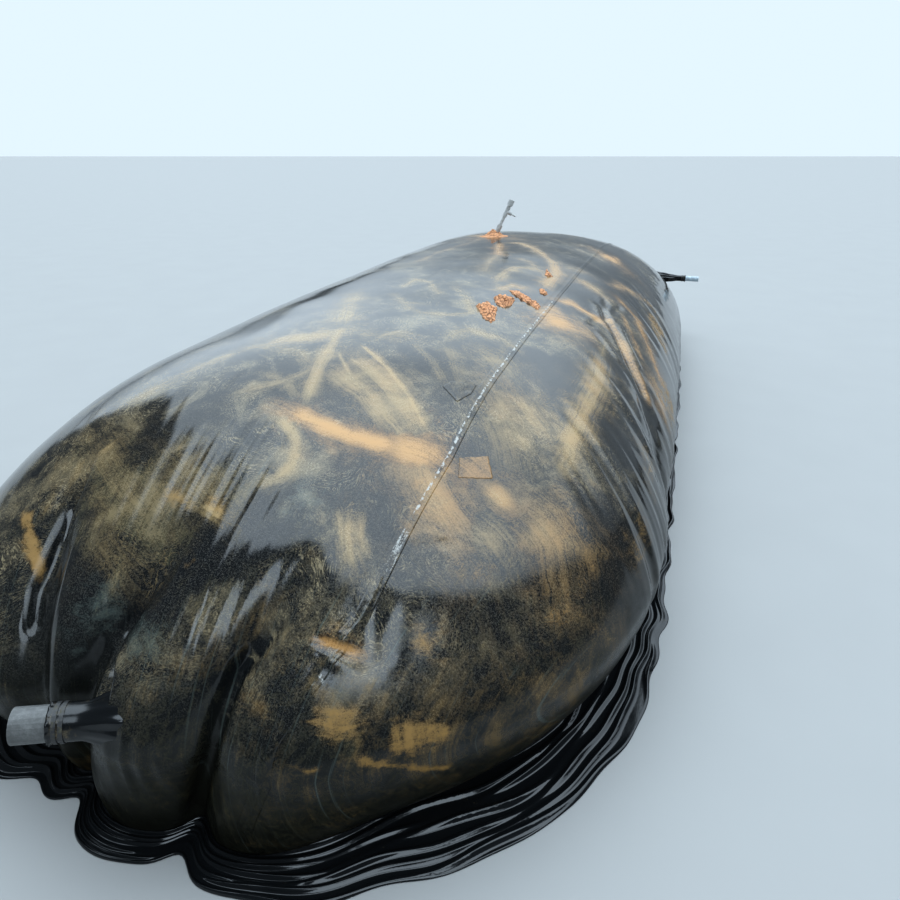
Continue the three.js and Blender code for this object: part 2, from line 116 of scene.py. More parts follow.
# Pixels of the photograph that each mud stroke follows, its half width in metres, its strength
# and how orange it is
TAN_STROKES = [
    ([(287, 410), (312, 420), (337, 430), (370, 441), (403, 448)], 0.060, 1.0, 0.85),
    ([(380, 440), (403, 447), (432, 455), (448, 470)], 0.11, 0.90, 0.95),
    ([(413, 450), (425, 478), (437, 503), (467, 547)], 0.12, 0.62, 0.6),
    ([(353, 353), (383, 380), (410, 413), (430, 450)], 0.09, 0.62, 0.35),
    ([(333, 367), (370, 393), (397, 427), (410, 445)], 0.08, 0.6, 0.35),
    ([(358, 290), (350, 305), (342, 327)], 0.09, 0.52, 0.25),
    ([(362, 345), (386, 366), (409, 396), (426, 430)], 0.024, 0.75, 0.35),
    ([(350, 358), (376, 376), (400, 404), (420, 438)], 0.018, 0.65, 0.35),
    ([(338, 352), (352, 378), (375, 402), (398, 424)], 0.016, 0.6, 0.3),
    ([(415, 345), (432, 360), (444, 382)], 0.03, 0.35, 0.2),
    ([(320, 363), (300, 375), (270, 385), (240, 392)], 0.045, 0.4, 0.25),
    ([(262, 372), (285, 380), (297, 400)], 0.03, 0.35, 0.2),
    ([(342, 327), (330, 345), (320, 363), (305, 403)], 0.045, 0.62, 0.3),
    ([(262, 342), (320, 335), (350, 333)], 0.10, 0.58, 0.35),
    ([(350, 333), (395, 335), (420, 338)], 0.07, 0.42, 0.3),
    ([(403, 287), (415, 279), (430, 282), (440, 295)], 0.03, 0.5, 0.15),
    ([(402, 302), (420, 312), (450, 315), (472, 313), (466, 296), (452, 285)], 0.035, 0.5, 0.15),
    ([(393, 293), (402, 302), (425, 305)], 0.03, 0.45, 0.15),
    ([(277, 417), (290, 427), (297, 440), (296, 455), (290, 467), (270, 482)], 0.035, 0.62, 0.3),
    ([(448, 340), (456, 332), (470, 330), (500, 338), (520, 352)], 0.05, 0.42, 0.2),
    ([(448, 345), (455, 360), (460, 378)], 0.06, 0.32, 0.2),
    ([(478, 350), (490, 356), (500, 368)], 0.13, 0.5, 0.25),
    ([(505, 385), (520, 405), (535, 425), (545, 440)], 0.22, 0.46, 0.4),
    ([(500, 410), (515, 440), (520, 460)], 0.16, 0.45, 0.3),
    ([(601, 358), (597, 380), (588, 400), (575, 430), (562, 466)], 0.085, 0.72, 0.4),
    ([(605, 340), (603, 352), (600, 366)], 0.05, 0.35, 0.3),
    ([(483, 483), (500, 498), (517, 510)], 0.07, 0.7, 0.6),
    ([(520, 508), (540, 522), (556, 545), (560, 570)], 0.20, 0.55, 0.55),
    ([(470, 515), (490, 530), (510, 560)], 0.12, 0.4, 0.3),
    ([(543, 322), (560, 321), (578, 327)], 0.15, 0.95, 0.95),
    ([(555, 300), (570, 303), (590, 314), (607, 327)], 0.055, 0.8, 1.0),
    ([(573, 276), (590, 286), (607, 298)], 0.09, 0.6, 0.5),
    ([(560, 268), (575, 268), (592, 276)], 0.09, 0.4, 0.4),
    ([(598, 252), (610, 258), (622, 266)], 0.16, 0.9, 1.0),
    ([(478, 238), (490, 236), (503, 238)], 0.20, 0.9, 1.0),
    ([(505, 243), (520, 243), (537, 250), (553, 262), (556, 273), (545, 287)], 0.07, 0.75, 0.55),
    ([(497, 283), (505, 272), (517, 267), (530, 268), (540, 273)], 0.055, 0.6, 0.4),
    ([(483, 273), (490, 260), (503, 252), (515, 252)], 0.055, 0.5, 0.4),
    ([(515, 258), (530, 262), (545, 275), (547, 285)], 0.04, 0.55, 0.45),
    ([(497, 290), (513, 285), (528, 291)], 0.05, 0.55, 0.5),
    ([(500, 243), (498, 250), (500, 256)], 0.05, 0.7, 0.9),
    ([(418, 262), (440, 252), (462, 245), (480, 240)], 0.05, 0.35, 0.5),
    ([(607, 317), (617, 334), (627, 353), (640, 380), (650, 403)], 0.028, 0.66, 1.0),
    ([(617, 297), (625, 306), (637, 320), (650, 350), (662, 385)], 0.055, 0.60, 1.0),
    ([(623, 315), (630, 332), (642, 360)], 0.030, 0.55, 1.0),
    ([(650, 372), (660, 400), (668, 425)], 0.09, 0.42, 0.9),
    ([(610, 285), (625, 288), (640, 296)], 0.06, 0.5, 0.7),
    ([(350, 512), (348, 530), (352, 555), (358, 572)], 0.035, 0.55, 0.3),
    ([(338, 510), (341, 530), (343, 550)], 0.018, 0.5, 0.3),
    ([(362, 512), (360, 535), (365, 555)], 0.018, 0.5, 0.3),
    ([(316, 641), (328, 643), (343, 648), (360, 655)], 0.016, 0.85, 1.0),
    ([(200, 505), (212, 512), (222, 520)], 0.03, 0.7, 0.3),
    ([(90, 440), (112, 470), (136, 505), (160, 540)], 0.15, 0.34, 0.15),
    ([(170, 455), (200, 480), (228, 506)], 0.09, 0.32, 0.15),
    ([(100, 520), (130, 560), (158, 590)], 0.10, 0.26, 0.2),
    ([(95, 455), (108, 448), (118, 440)], 0.03, 0.6, 0.3),
    ([(130, 402), (165, 383), (200, 366), (245, 350)], 0.05, 0.35, 0.15),
    ([(230, 352), (260, 345), (300, 352), (315, 372)], 0.05, 0.35, 0.2),
    ([(150, 470), (150, 500), (165, 520)], 0.04, 0.35, 0.2),
    ([(440, 480), (447, 470), (455, 474)], 0.025, 0.7, 0.7),
]

# The same for ochre patches on the near face and the right flank, without the orange
OCHRE_STROKES = [
    ([(301, 709), (325, 712), (350, 714), (367, 711)], 0.030, 0.62),
    ([(303, 720), (330, 725), (363, 724)], 0.030, 0.78),
    ([(307, 732), (334, 737), (359, 735)], 0.026, 0.60),
    ([(395, 719), (398, 738), (402, 757)], 0.030, 0.95),
    ([(407, 716), (409, 736), (411, 759)], 0.032, 1.10),
    ([(418, 716), (420, 733), (421, 751)], 0.028, 0.9),
    ([(430, 719), (432, 734), (434, 747)], 0.028, 0.8),
    ([(441, 719), (443, 732), (446, 743)], 0.026, 0.7),
    ([(292, 768), (306, 771), (324, 768)], 0.018, 0.65),
    ([(355, 760), (390, 765), (425, 769), (455, 768)], 0.018, 0.8),
    ([(413, 628), (425, 640), (440, 655)], 0.070, 0.75),
    ([(318, 620), (345, 630), (362, 640)], 0.040, 0.5),
    ([(236, 690), (262, 715), (280, 735)], 0.060, 0.35),
    ([(270, 560), (262, 580), (248, 600)], 0.050, 0.4),
    ([(160, 485), (185, 500), (205, 512)], 0.050, 0.5),
    ([(205, 498), (214, 508), (224, 518)], 0.035, 0.9),
    ([(178, 570), (188, 565), (199, 557)], 0.018, 0.5),
    ([(24, 512), (30, 535), (36, 560), (40, 580)], 0.032, 1.3),
    ([(652, 312), (660, 335), (668, 362)], 0.150, 0.75),
    ([(660, 372), (668, 400), (672, 430)], 0.130, 0.70),
    ([(640, 430), (648, 460), (652, 495)], 0.120, 0.55),
    ([(645, 500), (640, 540), (630, 580)], 0.100, 0.40),
    ([(630, 290), (645, 300), (660, 318)], 0.120, 0.7),
]

# The same for the thin olive film on the near face and the shoulders
OLIVE_STROKES = [
    ([(93, 447), (118, 482), (143, 520), (170, 560), (190, 600)], 0.22, 1.70),
    ([(62, 490), (85, 540), (108, 590)], 0.16, 1.00),
    ([(143, 453), (180, 470), (220, 500), (235, 530)], 0.17, 1.35),
    ([(190, 545), (235, 600), (275, 640)], 0.17, 0.75),
    ([(240, 600), (300, 610), (360, 620)], 0.12, 0.6),
    ([(270, 660), (300, 690), (360, 700), (400, 702)], 0.13, 0.85),
    ([(270, 730), (330, 750), (400, 770), (450, 765)], 0.12, 0.75),
    ([(375, 640), (400, 660), (432, 680)], 0.10, 0.6),
    ([(430, 560), (470, 600), (500, 640)], 0.20, 0.6),
    ([(40, 500), (30, 560), (25, 620)], 0.10, 0.6),
    ([(640, 330), (660, 380), (665, 430)], 0.28, 0.9),
    ([(560, 240), (600, 250), (640, 280)], 0.35, 0.55),
    ([(560, 350), (545, 400), (530, 450)], 0.30, 0.4),
    ([(280, 500), (300, 530), (325, 550)], 0.20, 0.8),
    ([(230, 480), (260, 500), (290, 520)], 0.15, 0.5),
]

# The same for pale greenish water film low on the near lobes
WATER_STROKES = [
    ([(78, 580), (95, 610), (108, 645)], 0.14, 0.62),
    ([(128, 605), (143, 640), (150, 680)], 0.14, 0.62),
    ([(60, 600), (75, 640), (85, 680)], 0.09, 0.4),
    ([(300, 475), (305, 500), (315, 520)], 0.14, 0.5),
]

# The sharp creases of the near pleats: pixels of the photograph, half width and depth in metres
DEEP_CREASE_TOP = [(330, 560), (300, 597), (269, 640), (240, 672)]
DEEP_CREASE_FOOT = [(228, 705), (214, 745), (201, 790), (190, 826)]
PLEAT_CREASES = [
    (DEEP_CREASE_TOP + DEEP_CREASE_FOOT, 0.034, 0.028),
    ([(165, 575), (135, 620), (115, 660), (105, 695), (100, 725)], 0.027, 0.032),
    ([(100, 440), (84, 480), (66, 530), (50, 570), (40, 590), (33, 640)], 0.028, 0.032),
]

# Smaller creases, the same way
CREASES = [
    ([(304, 634), (322, 642), (340, 650), (364, 661)], 0.022, 0.012),
    ([(400, 545), (418, 548), (440, 543), (460, 546)], 0.018, 0.008),
    ([(293, 727), (276, 762), (257, 797)], 0.014, 0.008),
    ([(602, 306), (606, 318), (617, 336), (632, 370), (648, 402)], 0.035, 0.020),
    ([(588, 324), (598, 320), (607, 318)], 0.028, 0.010),
    ([(622, 307), (615, 312), (607, 318)], 0.028, 0.010),
    ([(605, 298), (606, 308), (607, 318)], 0.028, 0.008),
    ([(618, 322), (626, 340), (642, 372)], 0.030, -0.010),
    ([(596, 330), (608, 345), (622, 366)], 0.030, -0.008),
    ([(461, 397), (470, 386), (476, 399)], 0.020, 0.004),
]

# The soft hollow left of the bright tongue on the near end, the same way
HOLLOWS = [
    ([(408, 510), (392, 545), (379, 580), (370, 625), (364, 680)], 0.052, 0.011),
]

# Dried mud crusts on the top sheet: the pixels round each one, and its height in metres
CRUST_OUTLINES = [
    ([(476, 306), (487, 302), (497, 309), (495, 320), (491, 323), (483, 317)], 0.030),
    ([(494, 298), (500, 295), (507, 297), (515, 300), (512, 305), (503, 308), (497, 305)], 0.032),
    ([(510, 291), (515, 290), (530, 299), (541, 307), (538, 310), (527, 303), (515, 296)], 0.020),
    ([(546, 270), (549, 273), (553, 277), (549, 277), (545, 275)], 0.022),
    ([(539, 289), (544, 291), (548, 295), (545, 295), (540, 293)], 0.018),
]

# White residue smeared beside the weld: pixels, half width in metres and strength
WELD_SMEARS = [
    ([(406, 533), (396, 552), (388, 568)], 0.030, 0.85),
    ([(320, 676), (323, 681), (326, 690)], 0.016, 1.0),
    ([(306, 701), (303, 708)], 0.010, 0.7),
]

# How much of a pleat's depth is in its narrow hollow
PLEAT_SHARPNESS = 0.55

# Where the lobes of an end begin to bulge, and the length in which they do
LOBES_BEGIN = 4.60
LOBES_FADE = 0.70

# Where the corner's pucker ends and how gradually, as shares of its length
PUCKER_END = 1.4
PUCKER_FADE = 0.4

# The sine waves that make up a ripple and a swell: how many, the spread of their wavelengths, and
# what brings a ripple's height to about 1
RIPPLE_SINES = 4
RIPPLE_SPREAD = (0.72, 1.45)
RIPPLE_GAIN = 1.35
SWELL_SINES = 7
SWELL_SPREAD = (0.7, 1.5)

# The place past each end that its tension wrinkles run to, and how far apart the coarse, the fine
# and the ragged ones are, in radians round that place
GATHER_X = 0.40
GATHER_Y = 7.40
WRINKLE_BEARINGS = (0.034, 0.017, 0.07)

# Where the tension wrinkles begin, and the length in which they grow: from the bag's middle, from
# the left and, with a negative length, from the right
WRINKLES_BEGIN = 4.10
WRINKLES_FADE = 0.60
WRINKLES_LEFT = (-1.55, 0.6)
WRINKLES_RIGHT = (1.05, -0.35)

# How the shoulders' ripples slant, and each stretch of them: its side of the bag, its share of
# their height, where it starts and ends along the bag, and its seed
RIPPLE_SLANT = (0.75, 0.65)
RIPPLE_STRETCHES = [
    (1, 1.0, -4.1, -1.5, 41),
    (-1, 0.7, -4.0, 4.5, 51),
    (1, 0.5, -1.0, 4.5, 61),
]

# The riser's foot in plan, round which the sheet is smooth
RISER_PLACE = (-0.171, 1.086)

# Points whose places agree to a millionth of a metre are one
MERGE_GRID = 1e6

# Strokes: points between two pixels, how many half widths a stroke reaches, the share of its
# strength in its core, and how far apart the brush places of two strokes are
STEPS_BETWEEN_PIXELS = 4
STROKE_REACH = 2.8
STROKE_CORE = 0.78
BRUSH_STEP = 3.7

# The kinds of crease, and the share of their length in which they slowly deepen
CREASE_KINDS = [
    (PLEAT_CREASES, 0.45),
    (HOLLOWS, 0.30),
    (CREASES, 0.0),
]

# Creases: how many half widths one reaches, how far its ends run out in metres, how high the lip
# beside it is as a share of its depth, and how many half widths of it are kept clear of the films
# as painted shade, so that the crease reads dark
CREASE_REACH = 4
CREASE_END = 0.08
CREASE_LIP = 0.35
CREASE_SHADE_WIDTH = 1.7

# Strength of the films on the parts that the photograph hides, and on the near face
HIDDEN_TAN = 0.12
HIDDEN_OLIVE = 0.26
NEAR_FACE_OLIVE = 0.50

# How far a bearing round the gathering place is stretched for the patterns that follow it
BEARING_STRETCH = 3.0

# The middle of a cloudy pattern
PATTERN_MIDDLE = 0.5

# How well each film covers what is below it, how much rougher it makes the sheet, and how much of
# the sheet's shine it takes away
FILM_COVER = {
    "dust": 0.24,
    "veil": 1.0,
    "water": 0.55,
    "foot": 0.80,
    "olive": 0.62,
    "streaks": 0.50,
    "ochre": 0.85,
    "strokes": 0.92,
    "residue": 0.92,
}
FILM_ROUGHNESS = {
    "strokes": 0.24,
    "olive": 0.20,
    "dust": 0.04,
    "veil": 0.18,
    "water": 0.06,
    "ochre": 0.25,
    "foot": 0.28,
    "residue": 0.5,
}
FILM_DULLNESS = {"foot": 0.42, "olive": 0.16, "ochre": 0.20}

# The clean sheet's shine, the least that films leave of it, and its roughness and refraction
FULL_SHINE = 0.5
LEAST_SHINE = 0.05
SHEET_ROUGHNESS = 0.07
SHEET_IOR = 1.50

# The weld strip across its line: pairs of how far to one side, and how high, in metres
WELD_PROFILE = [
    (-0.030, 0.0003),
    (-0.022, 0.0008),
    (-0.012, 0.0016),
    (-0.007, 0.0022),
    (-0.0035, 0.0030),
    (0.0, 0.0034),
    (0.0035, 0.0030),
    (0.007, 0.0024),
    (0.014, 0.0020),
    (0.026, 0.0018),
    (0.034, 0.0016),
    (0.035, 0.0003),
]
WELD_THICKNESS = 0.004
BEAD_HEIGHT = 0.0035
BEAD_HALF_WIDTH = 0.006

# The weld's line: how far apart its rays and its rings are, and the height above which it runs
# over the top. Down the near wall it drifts left by a share of how far it is below the shoulder,
# until a depth. A normal is smoothed over so many points, and points are placed so many at once
WELD_RAY_STEP = 0.03
WELD_STEP = 0.012
TOP_BEGINS = 0.66
WELD_DRIFT = 0.40
WELD_DRIFT_ENDS = 0.32
SMOOTHED_POINTS = 9
POINTS_AT_ONCE = 4000

# Plan outlines of the two patches
SHIELD_PATCH = [(0.820, -3.590), (0.845, -3.500), (0.975, -3.455), (0.975, -3.560), (0.935, -3.680)]
SQUARE_PATCH = [(1.070, -4.060), (1.190, -3.965), (1.245, -4.080), (1.105, -4.175)]

# Each patch: its solid, outline, how uneven its edge is, thickness, seed, and how strong and how
# orange the mud is that covers it, where that isn't the mud around it
PATCHES = [
    ("scuffed_patch", SHIELD_PATCH, 0.012, 0.0030, 5, None),
    ("smooth_patch", SQUARE_PATCH, 0.030, 0.0008, 6, (0.46, 0.85)),
]

# Rings and points of the meshes that lie flat on the sheet, how deep their undersides are sunk
# into it, and the height of the clay round the riser
PATCH_RINGS = 12
PATCH_POINTS = 72
MOUND_RINGS = 16
MOUND_POINTS = 96
MOUND_HEIGHT = 0.062
SUNK_UNDER = 0.004

# The hem: mesh columns round it and rings across it, its folds, and its measures in metres
HEM_COLUMNS = (170, 70, 60)
HEM_RINGS = 46
HEM_FOLDS = 7
HEM_REACH = 0.118
HEM_LIES_AT = 0.004
HEM_THICKNESS = 0.003

# How high clay has splashed up the pipes and over what height it thins out, in metres, and the
# outlet pipe's grey as a share of the riser's
RISER_MUD_HEIGHT = 1.78
OUTLET_MUD_HEIGHT = 0.50
INLET_MUD_HEIGHT = 0.80
MUD_REACH = 0.05
OUTLET_SHADE = 0.22

# Each sleeve: its solid, the foot and direction of its pipe, the pipe's radius, how far along
# the pipe it reaches, and the phase of its gathers
SLEEVES = [
    ("outlet_sleeve", (0.03, -5.41, 0.62), (-0.84, -0.52, 0.12), 0.070, 0.160, 1.0),
    ("inlet_sleeve", (1.64, 3.98, 0.88), (1.0, 0.0, 0.0), 0.0375, 0.420, 2.0),
]

# The sleeves' meshes: points and rings, how many gathers, how far they flare at the bag, how far
# they start inside it, and how far their skirts reach past their ends
SLEEVE_POINTS = 96
SLEEVE_RINGS = 44
SLEEVE_GATHERS = 13
SLEEVE_FLARE = 0.043
SLEEVE_INSIDE = 0.11
SLEEVE_SKIRT = 0.012

# The stage: the floor's half side and height in metres, how high the middle of the sky's wide cap
# stands, the small light's direction, the light's colour, and how bright the backdrop is seen
FLOOR_REACH = 400.0
FLOOR_HEIGHT = -0.002
CAP_RISE = math.radians(48)
SMALL_LIGHT_DIRECTION = (0.350, -0.451, 0.821)
LIGHT_COLOUR = (0.84, 0.98, 1.10, 1.0)
BACKDROP_STRENGTH = 0.80


class BagShape(PropertyGroup):
    """The filled bag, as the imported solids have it."""

    half_length: FloatProperty(
        name="Half length", description="Half of the bag's length", default=5.48, unit="LENGTH"
    )
    half_width: FloatProperty(
        name="Half width", description="Half of the bag's width", default=2.10, unit="LENGTH"
    )
    near_rounding: FloatProperty(
        name="Near rounding", description="Length of the near end's round", default=2.43, unit="LENGTH"
    )
    far_rounding: FloatProperty(
        name="Far rounding", description="Length of the far end's round", default=4.80, unit="LENGTH"
    )
    near_squareness: FloatProperty(
        name="Near squareness", description="2 is an ellipse in plan, more is squarer", default=2.3
    )
    far_squareness: FloatProperty(
        name="Far squareness", description="2 is an ellipse in plan, more is squarer", default=3.3
    )
    shoulder_height: FloatProperty(
        name="Shoulder height", description="Height of the widest line", default=0.546, unit="LENGTH"
    )
    dome_rise: FloatProperty(
        name="Dome rise", description="Crest above the widest line", default=1.18, unit="LENGTH"
    )
    dome_flatness: FloatProperty(
        name="Dome flatness", description="How flat the middle of the dome is", default=2.3
    )
    dome_fullness: FloatProperty(
        name="Dome fullness", description="How full the shoulders of the dome are", default=1.5
    )
    dome_tilt: FloatProperty(
        name="Dome tilt", description="Share by which the far crest is higher", default=0.056
    )
    dome_sag: FloatProperty(
        name="Dome sag", description="Share by which the crest falls to both ends", default=-0.165
    )
    foot_inset: FloatProperty(
        name="Foot inset",
        description="How far the foot lies in from the widest line",
        default=0.25,
        unit="LENGTH",
    )
    lobe_foot_spread: FloatProperty(
        name="Lobe spread", description="How far the lobes' feet come out again", default=0.17, unit="LENGTH"
    )
    lobe_middle: FloatProperty(
        name="Lobe middle", description="Where the lobes of an end are centred", default=0.20, unit="LENGTH"
    )
    lobe_half_width: FloatProperty(
        name="Lobe half width",
        description="How far the lobes reach to each side",
        default=0.85,
        unit="LENGTH",
    )
    end_bulge: FloatProperty(
        name="End bulge", description="How far the lobes bulge out", default=0.05, unit="LENGTH"
    )
    pleat_swing: FloatProperty(
        name="Pleat swing",
        description="How far a pleat swings left down the wall",
        default=0.17,
        unit="LENGTH",
    )


class SheetSurface(PropertyGroup):
    """How finely the sheet is meshed and how much it is wrinkled."""

    near_columns: IntProperty(
        name="Near columns", description="Mesh columns in a quarter of the near end", default=230
    )
    side_columns: IntProperty(
        name="Side columns", description="Mesh columns along a straight side", default=92
    )
    far_columns: IntProperty(
        name="Far columns", description="Mesh columns in a quarter of the far end", default=56
    )
    dome_rings: IntProperty(name="Dome rings", description="Mesh rings over the dome", default=107)
    wall_rings: IntProperty(name="Wall rings", description="Mesh rings down the wall", default=22)
    end_wrinkle: FloatProperty(
        name="End wrinkle",
        description="Height of the tension wrinkles at the ends",
        default=0.0042,
        unit="LENGTH",
    )
    side_wrinkle: FloatProperty(
        name="Side wrinkle",
        description="Height of the ripples over the right shoulder",
        default=0.0110,
        unit="LENGTH",
    )
    undulation: FloatProperty(
        name="Undulation", description="Height of the slow waves in the sheet", default=0.0060, unit="LENGTH"
    )


class DigesterColours(PropertyGroup):
    """Colours of the finishes."""

    black: FloatVectorProperty(
        name="Sheet black",
        description="Clean polyethylene sheet",
        subtype="COLOR",
        default=(0.007, 0.008, 0.009),
    )
    dust: FloatVectorProperty(
        name="Dust", description="Thin grey dust on the top", subtype="COLOR", default=(0.16, 0.155, 0.14)
    )
    tan: FloatVectorProperty(
        name="Tan mud", description="Dried tan mud film", subtype="COLOR", default=(0.35, 0.250, 0.120)
    )
    orange: FloatVectorProperty(
        name="Orange mud",
        description="Dried orange clay film",
        subtype="COLOR",
        default=(0.45, 0.245, 0.084),
    )
    veil: FloatVectorProperty(
        name="Mud veil",
        description="Thin veil of mud water on the top",
        subtype="COLOR",
        default=(0.32, 0.26, 0.16),
    )
    ochre: FloatVectorProperty(
        name="Ochre film",
        description="Ochre film on the near face",
        subtype="COLOR",
        default=(0.25, 0.152, 0.055),
    )
    olive: FloatVectorProperty(
        name="Olive film",
        description="Olive film on the near face",
        subtype="COLOR",
        default=(0.088, 0.078, 0.044),
    )
    # Nearly black and dull, laid near the floor so that the sheet is darker towards the bottom
    splash: FloatVectorProperty(
        name="Splash",
        description="Dark soil splashed near the floor",
        subtype="COLOR",
        default=(0.013, 0.013, 0.009),
    )
    water_film: FloatVectorProperty(
        name="Water film",
        description="Pale greenish film low on the lobes",
        subtype="COLOR",
        default=(0.085, 0.105, 0.095),
    )
    clod: FloatVectorProperty(
        name="Mud crust", description="Dried mud crusts", subtype="COLOR", default=(0.50, 0.25, 0.130)
    )
    residue: FloatVectorProperty(
        name="Weld residue",
        description="White residue on the long weld",
        subtype="COLOR",
        default=(0.42, 0.42, 0.40),
    )
    grey_pipe: FloatVectorProperty(
        name="Grey pipe",
        description="Weathered grey plastic pipe",
        subtype="COLOR",
        default=(0.56, 0.57, 0.56),
    )
    pale_pipe: FloatVectorProperty(
        name="Pale pipe",
        description="Pale blue grey plastic pipe",
        subtype="COLOR",
        default=(0.50, 0.60, 0.66),
    )
    strap: FloatVectorProperty(
        name="Strap rubber",
        description="Rubber of the sleeve straps",
        subtype="COLOR",
        default=(0.030, 0.030, 0.031),
    )
    floor: FloatVectorProperty(
        name="Floor", description="Plain pale floor", subtype="COLOR", default=(0.30, 0.30, 0.295)
    )


class StageSettings(PropertyGroup):
    """The camera and the light."""

    camera_place: FloatVectorProperty(
        name="Camera place",
        description="Where the camera stands",
        subtype="TRANSLATION",
        default=(1.943, -6.770, 2.654),
    )
    camera_heading: FloatProperty(
        name="Heading", description="Turn to the left of the far end", subtype="ANGLE", default=0.327
    )
    camera_pitch: FloatProperty(
        name="Pitch", description="How far the camera looks down", subtype="ANGLE", default=0.4292
    )
    focal_pixels: FloatProperty(
        name="Focal length", description="Focal length in pixels of the photograph", default=655.5
    )
    sky_strength: FloatProperty(
        name="Sky strength", description="Strength of the soft light overhead", default=1.0
    )
    side_strength: FloatProperty(
        name="Side strength", description="Strength of the small light behind the camera", default=3.6
    )
    shade_strength: FloatProperty(
        name="Shade strength", description="Strength of the dark part of the surroundings", default=0.09
    )
    fill_strength: FloatProperty(
        name="Fill strength", description="Extra soft light that isn't seen reflected", default=0.75
    )


# The bag's surface


def smooth_step(value):
    """0 below 0, 1 above 1, smooth between."""
    t = np.clip(value, 0.0, 1.0)
    return t * t * (3.0 - 2.0 * t)


def rise(value, start, width):
    """0 up to a start, 1 from a width past it, smooth between. With a negative width it falls."""
    return smooth_step((value - start) / width)


def end_quarter(shape, direction, rounding, squareness, columns):
    """Plan points of a quarter of the outline, from the middle of an end to the straight side."""
    angle = np.linspace(0.0, math.pi / 2, columns + 1)
    along = np.abs(np.cos(angle))
    across = np.sin(angle)
    reach = (along**squareness + across**squareness) ** (-1.0 / squareness)
    spine = direction * (shape.half_length - rounding)
    x = shape.half_width * across * reach
    y = spine + direction * rounding * along * reach
    return np.stack([x, y, np.full_like(x, spine)], axis=1)


def bag_outline(shape, near_columns, side_columns, far_columns):
    """The widest outline, anticlockwise from above: x, y, spine y, and the outward normal."""
    near = end_quarter(shape, -1, shape.near_rounding, shape.near_squareness, near_columns)
    far = end_quarter(shape, 1, shape.far_rounding, shape.far_squareness, far_columns)[::-1]
    side_y = np.linspace(near[-1, 1], far[0, 1], side_columns + 1)[1:-1]
    side = np.stack([np.full_like(side_y, shape.half_width), side_y, side_y], axis=1)
    right = np.concatenate([near, side, far])
    left = right[1:-1][::-1] * np.array([-1.0, 1.0, 1.0])
    points = np.concatenate([right, left])
    step = np.roll(points, -1, axis=0) - np.roll(points, 1, axis=0)
    length = np.hypot(step[:, 0], step[:, 1])
    normal_x = step[:, 1] / length
    normal_y = -step[:, 0] / length
    return np.column_stack([points, normal_x, normal_y])


def pleat_depth(pleat, x, y):
    """How far a pleat presses the sheet in at a place seen from above."""
    (start_x, start_y), (end_x, end_y), depth, narrow, broad = pleat
    length_x, length_y = end_x - start_x, end_y - start_y
    length = math.hypot(length_x, length_y)
    along = ((x - start_x) * length_x + (y - start_y) * length_y) / length**2
    across = ((x - start_x) * length_y - (y - start_y) * length_x) / length
    sharp_part = PLEAT_SHARPNESS * np.exp(-((across / narrow) ** 2))
    soft_part = (1.0 - PLEAT_SHARPNESS) * np.exp(-((across / broad) ** 2))
    return depth * smooth_step(along) * (sharp_part + soft_part)


def lobe_share(shape, x):
    """1 in the middle of an end, where the lobes are, and 0 away from it."""
    return np.exp(-(((x - shape.lobe_middle) / shape.lobe_half_width) ** 4))


def relief(shape, x, y):
    """The pleats of both ends and the puckered corner, as the solids have them."""
    depth = -shape.end_bulge * lobe_share(shape, x) * rise(np.abs(y), LOBES_BEGIN, LOBES_FADE)
    for pleat in NEAR_PLEATS:
        depth = depth + pleat_depth(pleat, x, y) + pleat_depth(pleat, x, -y)
    start_y, end_y = CORNER_PUCKER[0][1], CORNER_PUCKER[1][1]
    along = (y - start_y) / (end_y - start_y)
    fade = np.where(along > 0.0, rise(along, PUCKER_END, -PUCKER_FADE), 0.0)
    return depth + pleat_depth(CORNER_PUCKER, x, y) * fade


def dome_ring(shape, outline, share):
    """One ring of the dome, at a share of the way from the spine to the widest line."""
    x = outline[:, 0] * share
    y = outline[:, 2] + (outline[:, 1] - outline[:, 2]) * share
    place = y / shape.half_length
    crest = 1.0 + shape.dome_tilt * place + shape.dome_sag * place**2
    fall = max(0.0, 1.0 - share**shape.dome_flatness) ** (1.0 / shape.dome_fullness)
    outward = share**4
    upward = 1.0 - outward
    push = -relief(shape, x, y) / math.hypot(outward, upward)
    return np.stack(
        [
            x + outline[:, 3] * outward * push,
            y + outline[:, 4] * outward * push,
            shape.shoulder_height + shape.dome_rise * crest * fall + upward * push,
        ],
        axis=1,
    )


def wall_ring(shape, outline, share):
    """One ring of the wall, at a share of the way from the widest line to the foot."""
    foot_inset = shape.foot_inset - shape.lobe_foot_spread * lobe_share(shape, outline[:, 0])
    swung_x = outline[:, 0] + shape.pleat_swing * share
    inset = foot_inset * share**2 + relief(shape, swung_x, outline[:, 1])
    x = outline[:, 0] - outline[:, 3] * inset
    y = outline[:, 1] - outline[:, 4] * inset
    height = np.full(len(outline), shape.shoulder_height * (1.0 - share))
    return np.stack([x, y, height], axis=1)


def bag_rings(shape, surface):
    """Rings of points from the spine of the dome down to the foot, and the outline they follow."""
    outline = bag_outline(shape, surface.near_columns, surface.side_columns, surface.far_columns)
    dome = [
        dome_ring(shape, outline, math.sin(i / surface.dome_rings * math.pi / 2))
        for i in range(surface.dome_rings + 1)
    ]
    wall = [wall_ring(shape, outline, i / surface.wall_rings) for i in range(1, surface.wall_rings + 1)]
    return np.array(dome + wall), outline


def ring_normals(rings):
    """Outward normals of a grid of rings that each close on themselves."""
    around = np.roll(rings, -1, axis=1) - np.roll(rings, 1, axis=1)
    down = np.gradient(rings, axis=0)
    normal = np.cross(down, around)
    length = np.linalg.norm(normal, axis=2, keepdims=True)
    up = np.array([0.0, 0.0, 1.0])
    return np.where(length > TINY, normal / np.maximum(length, TINY), up)


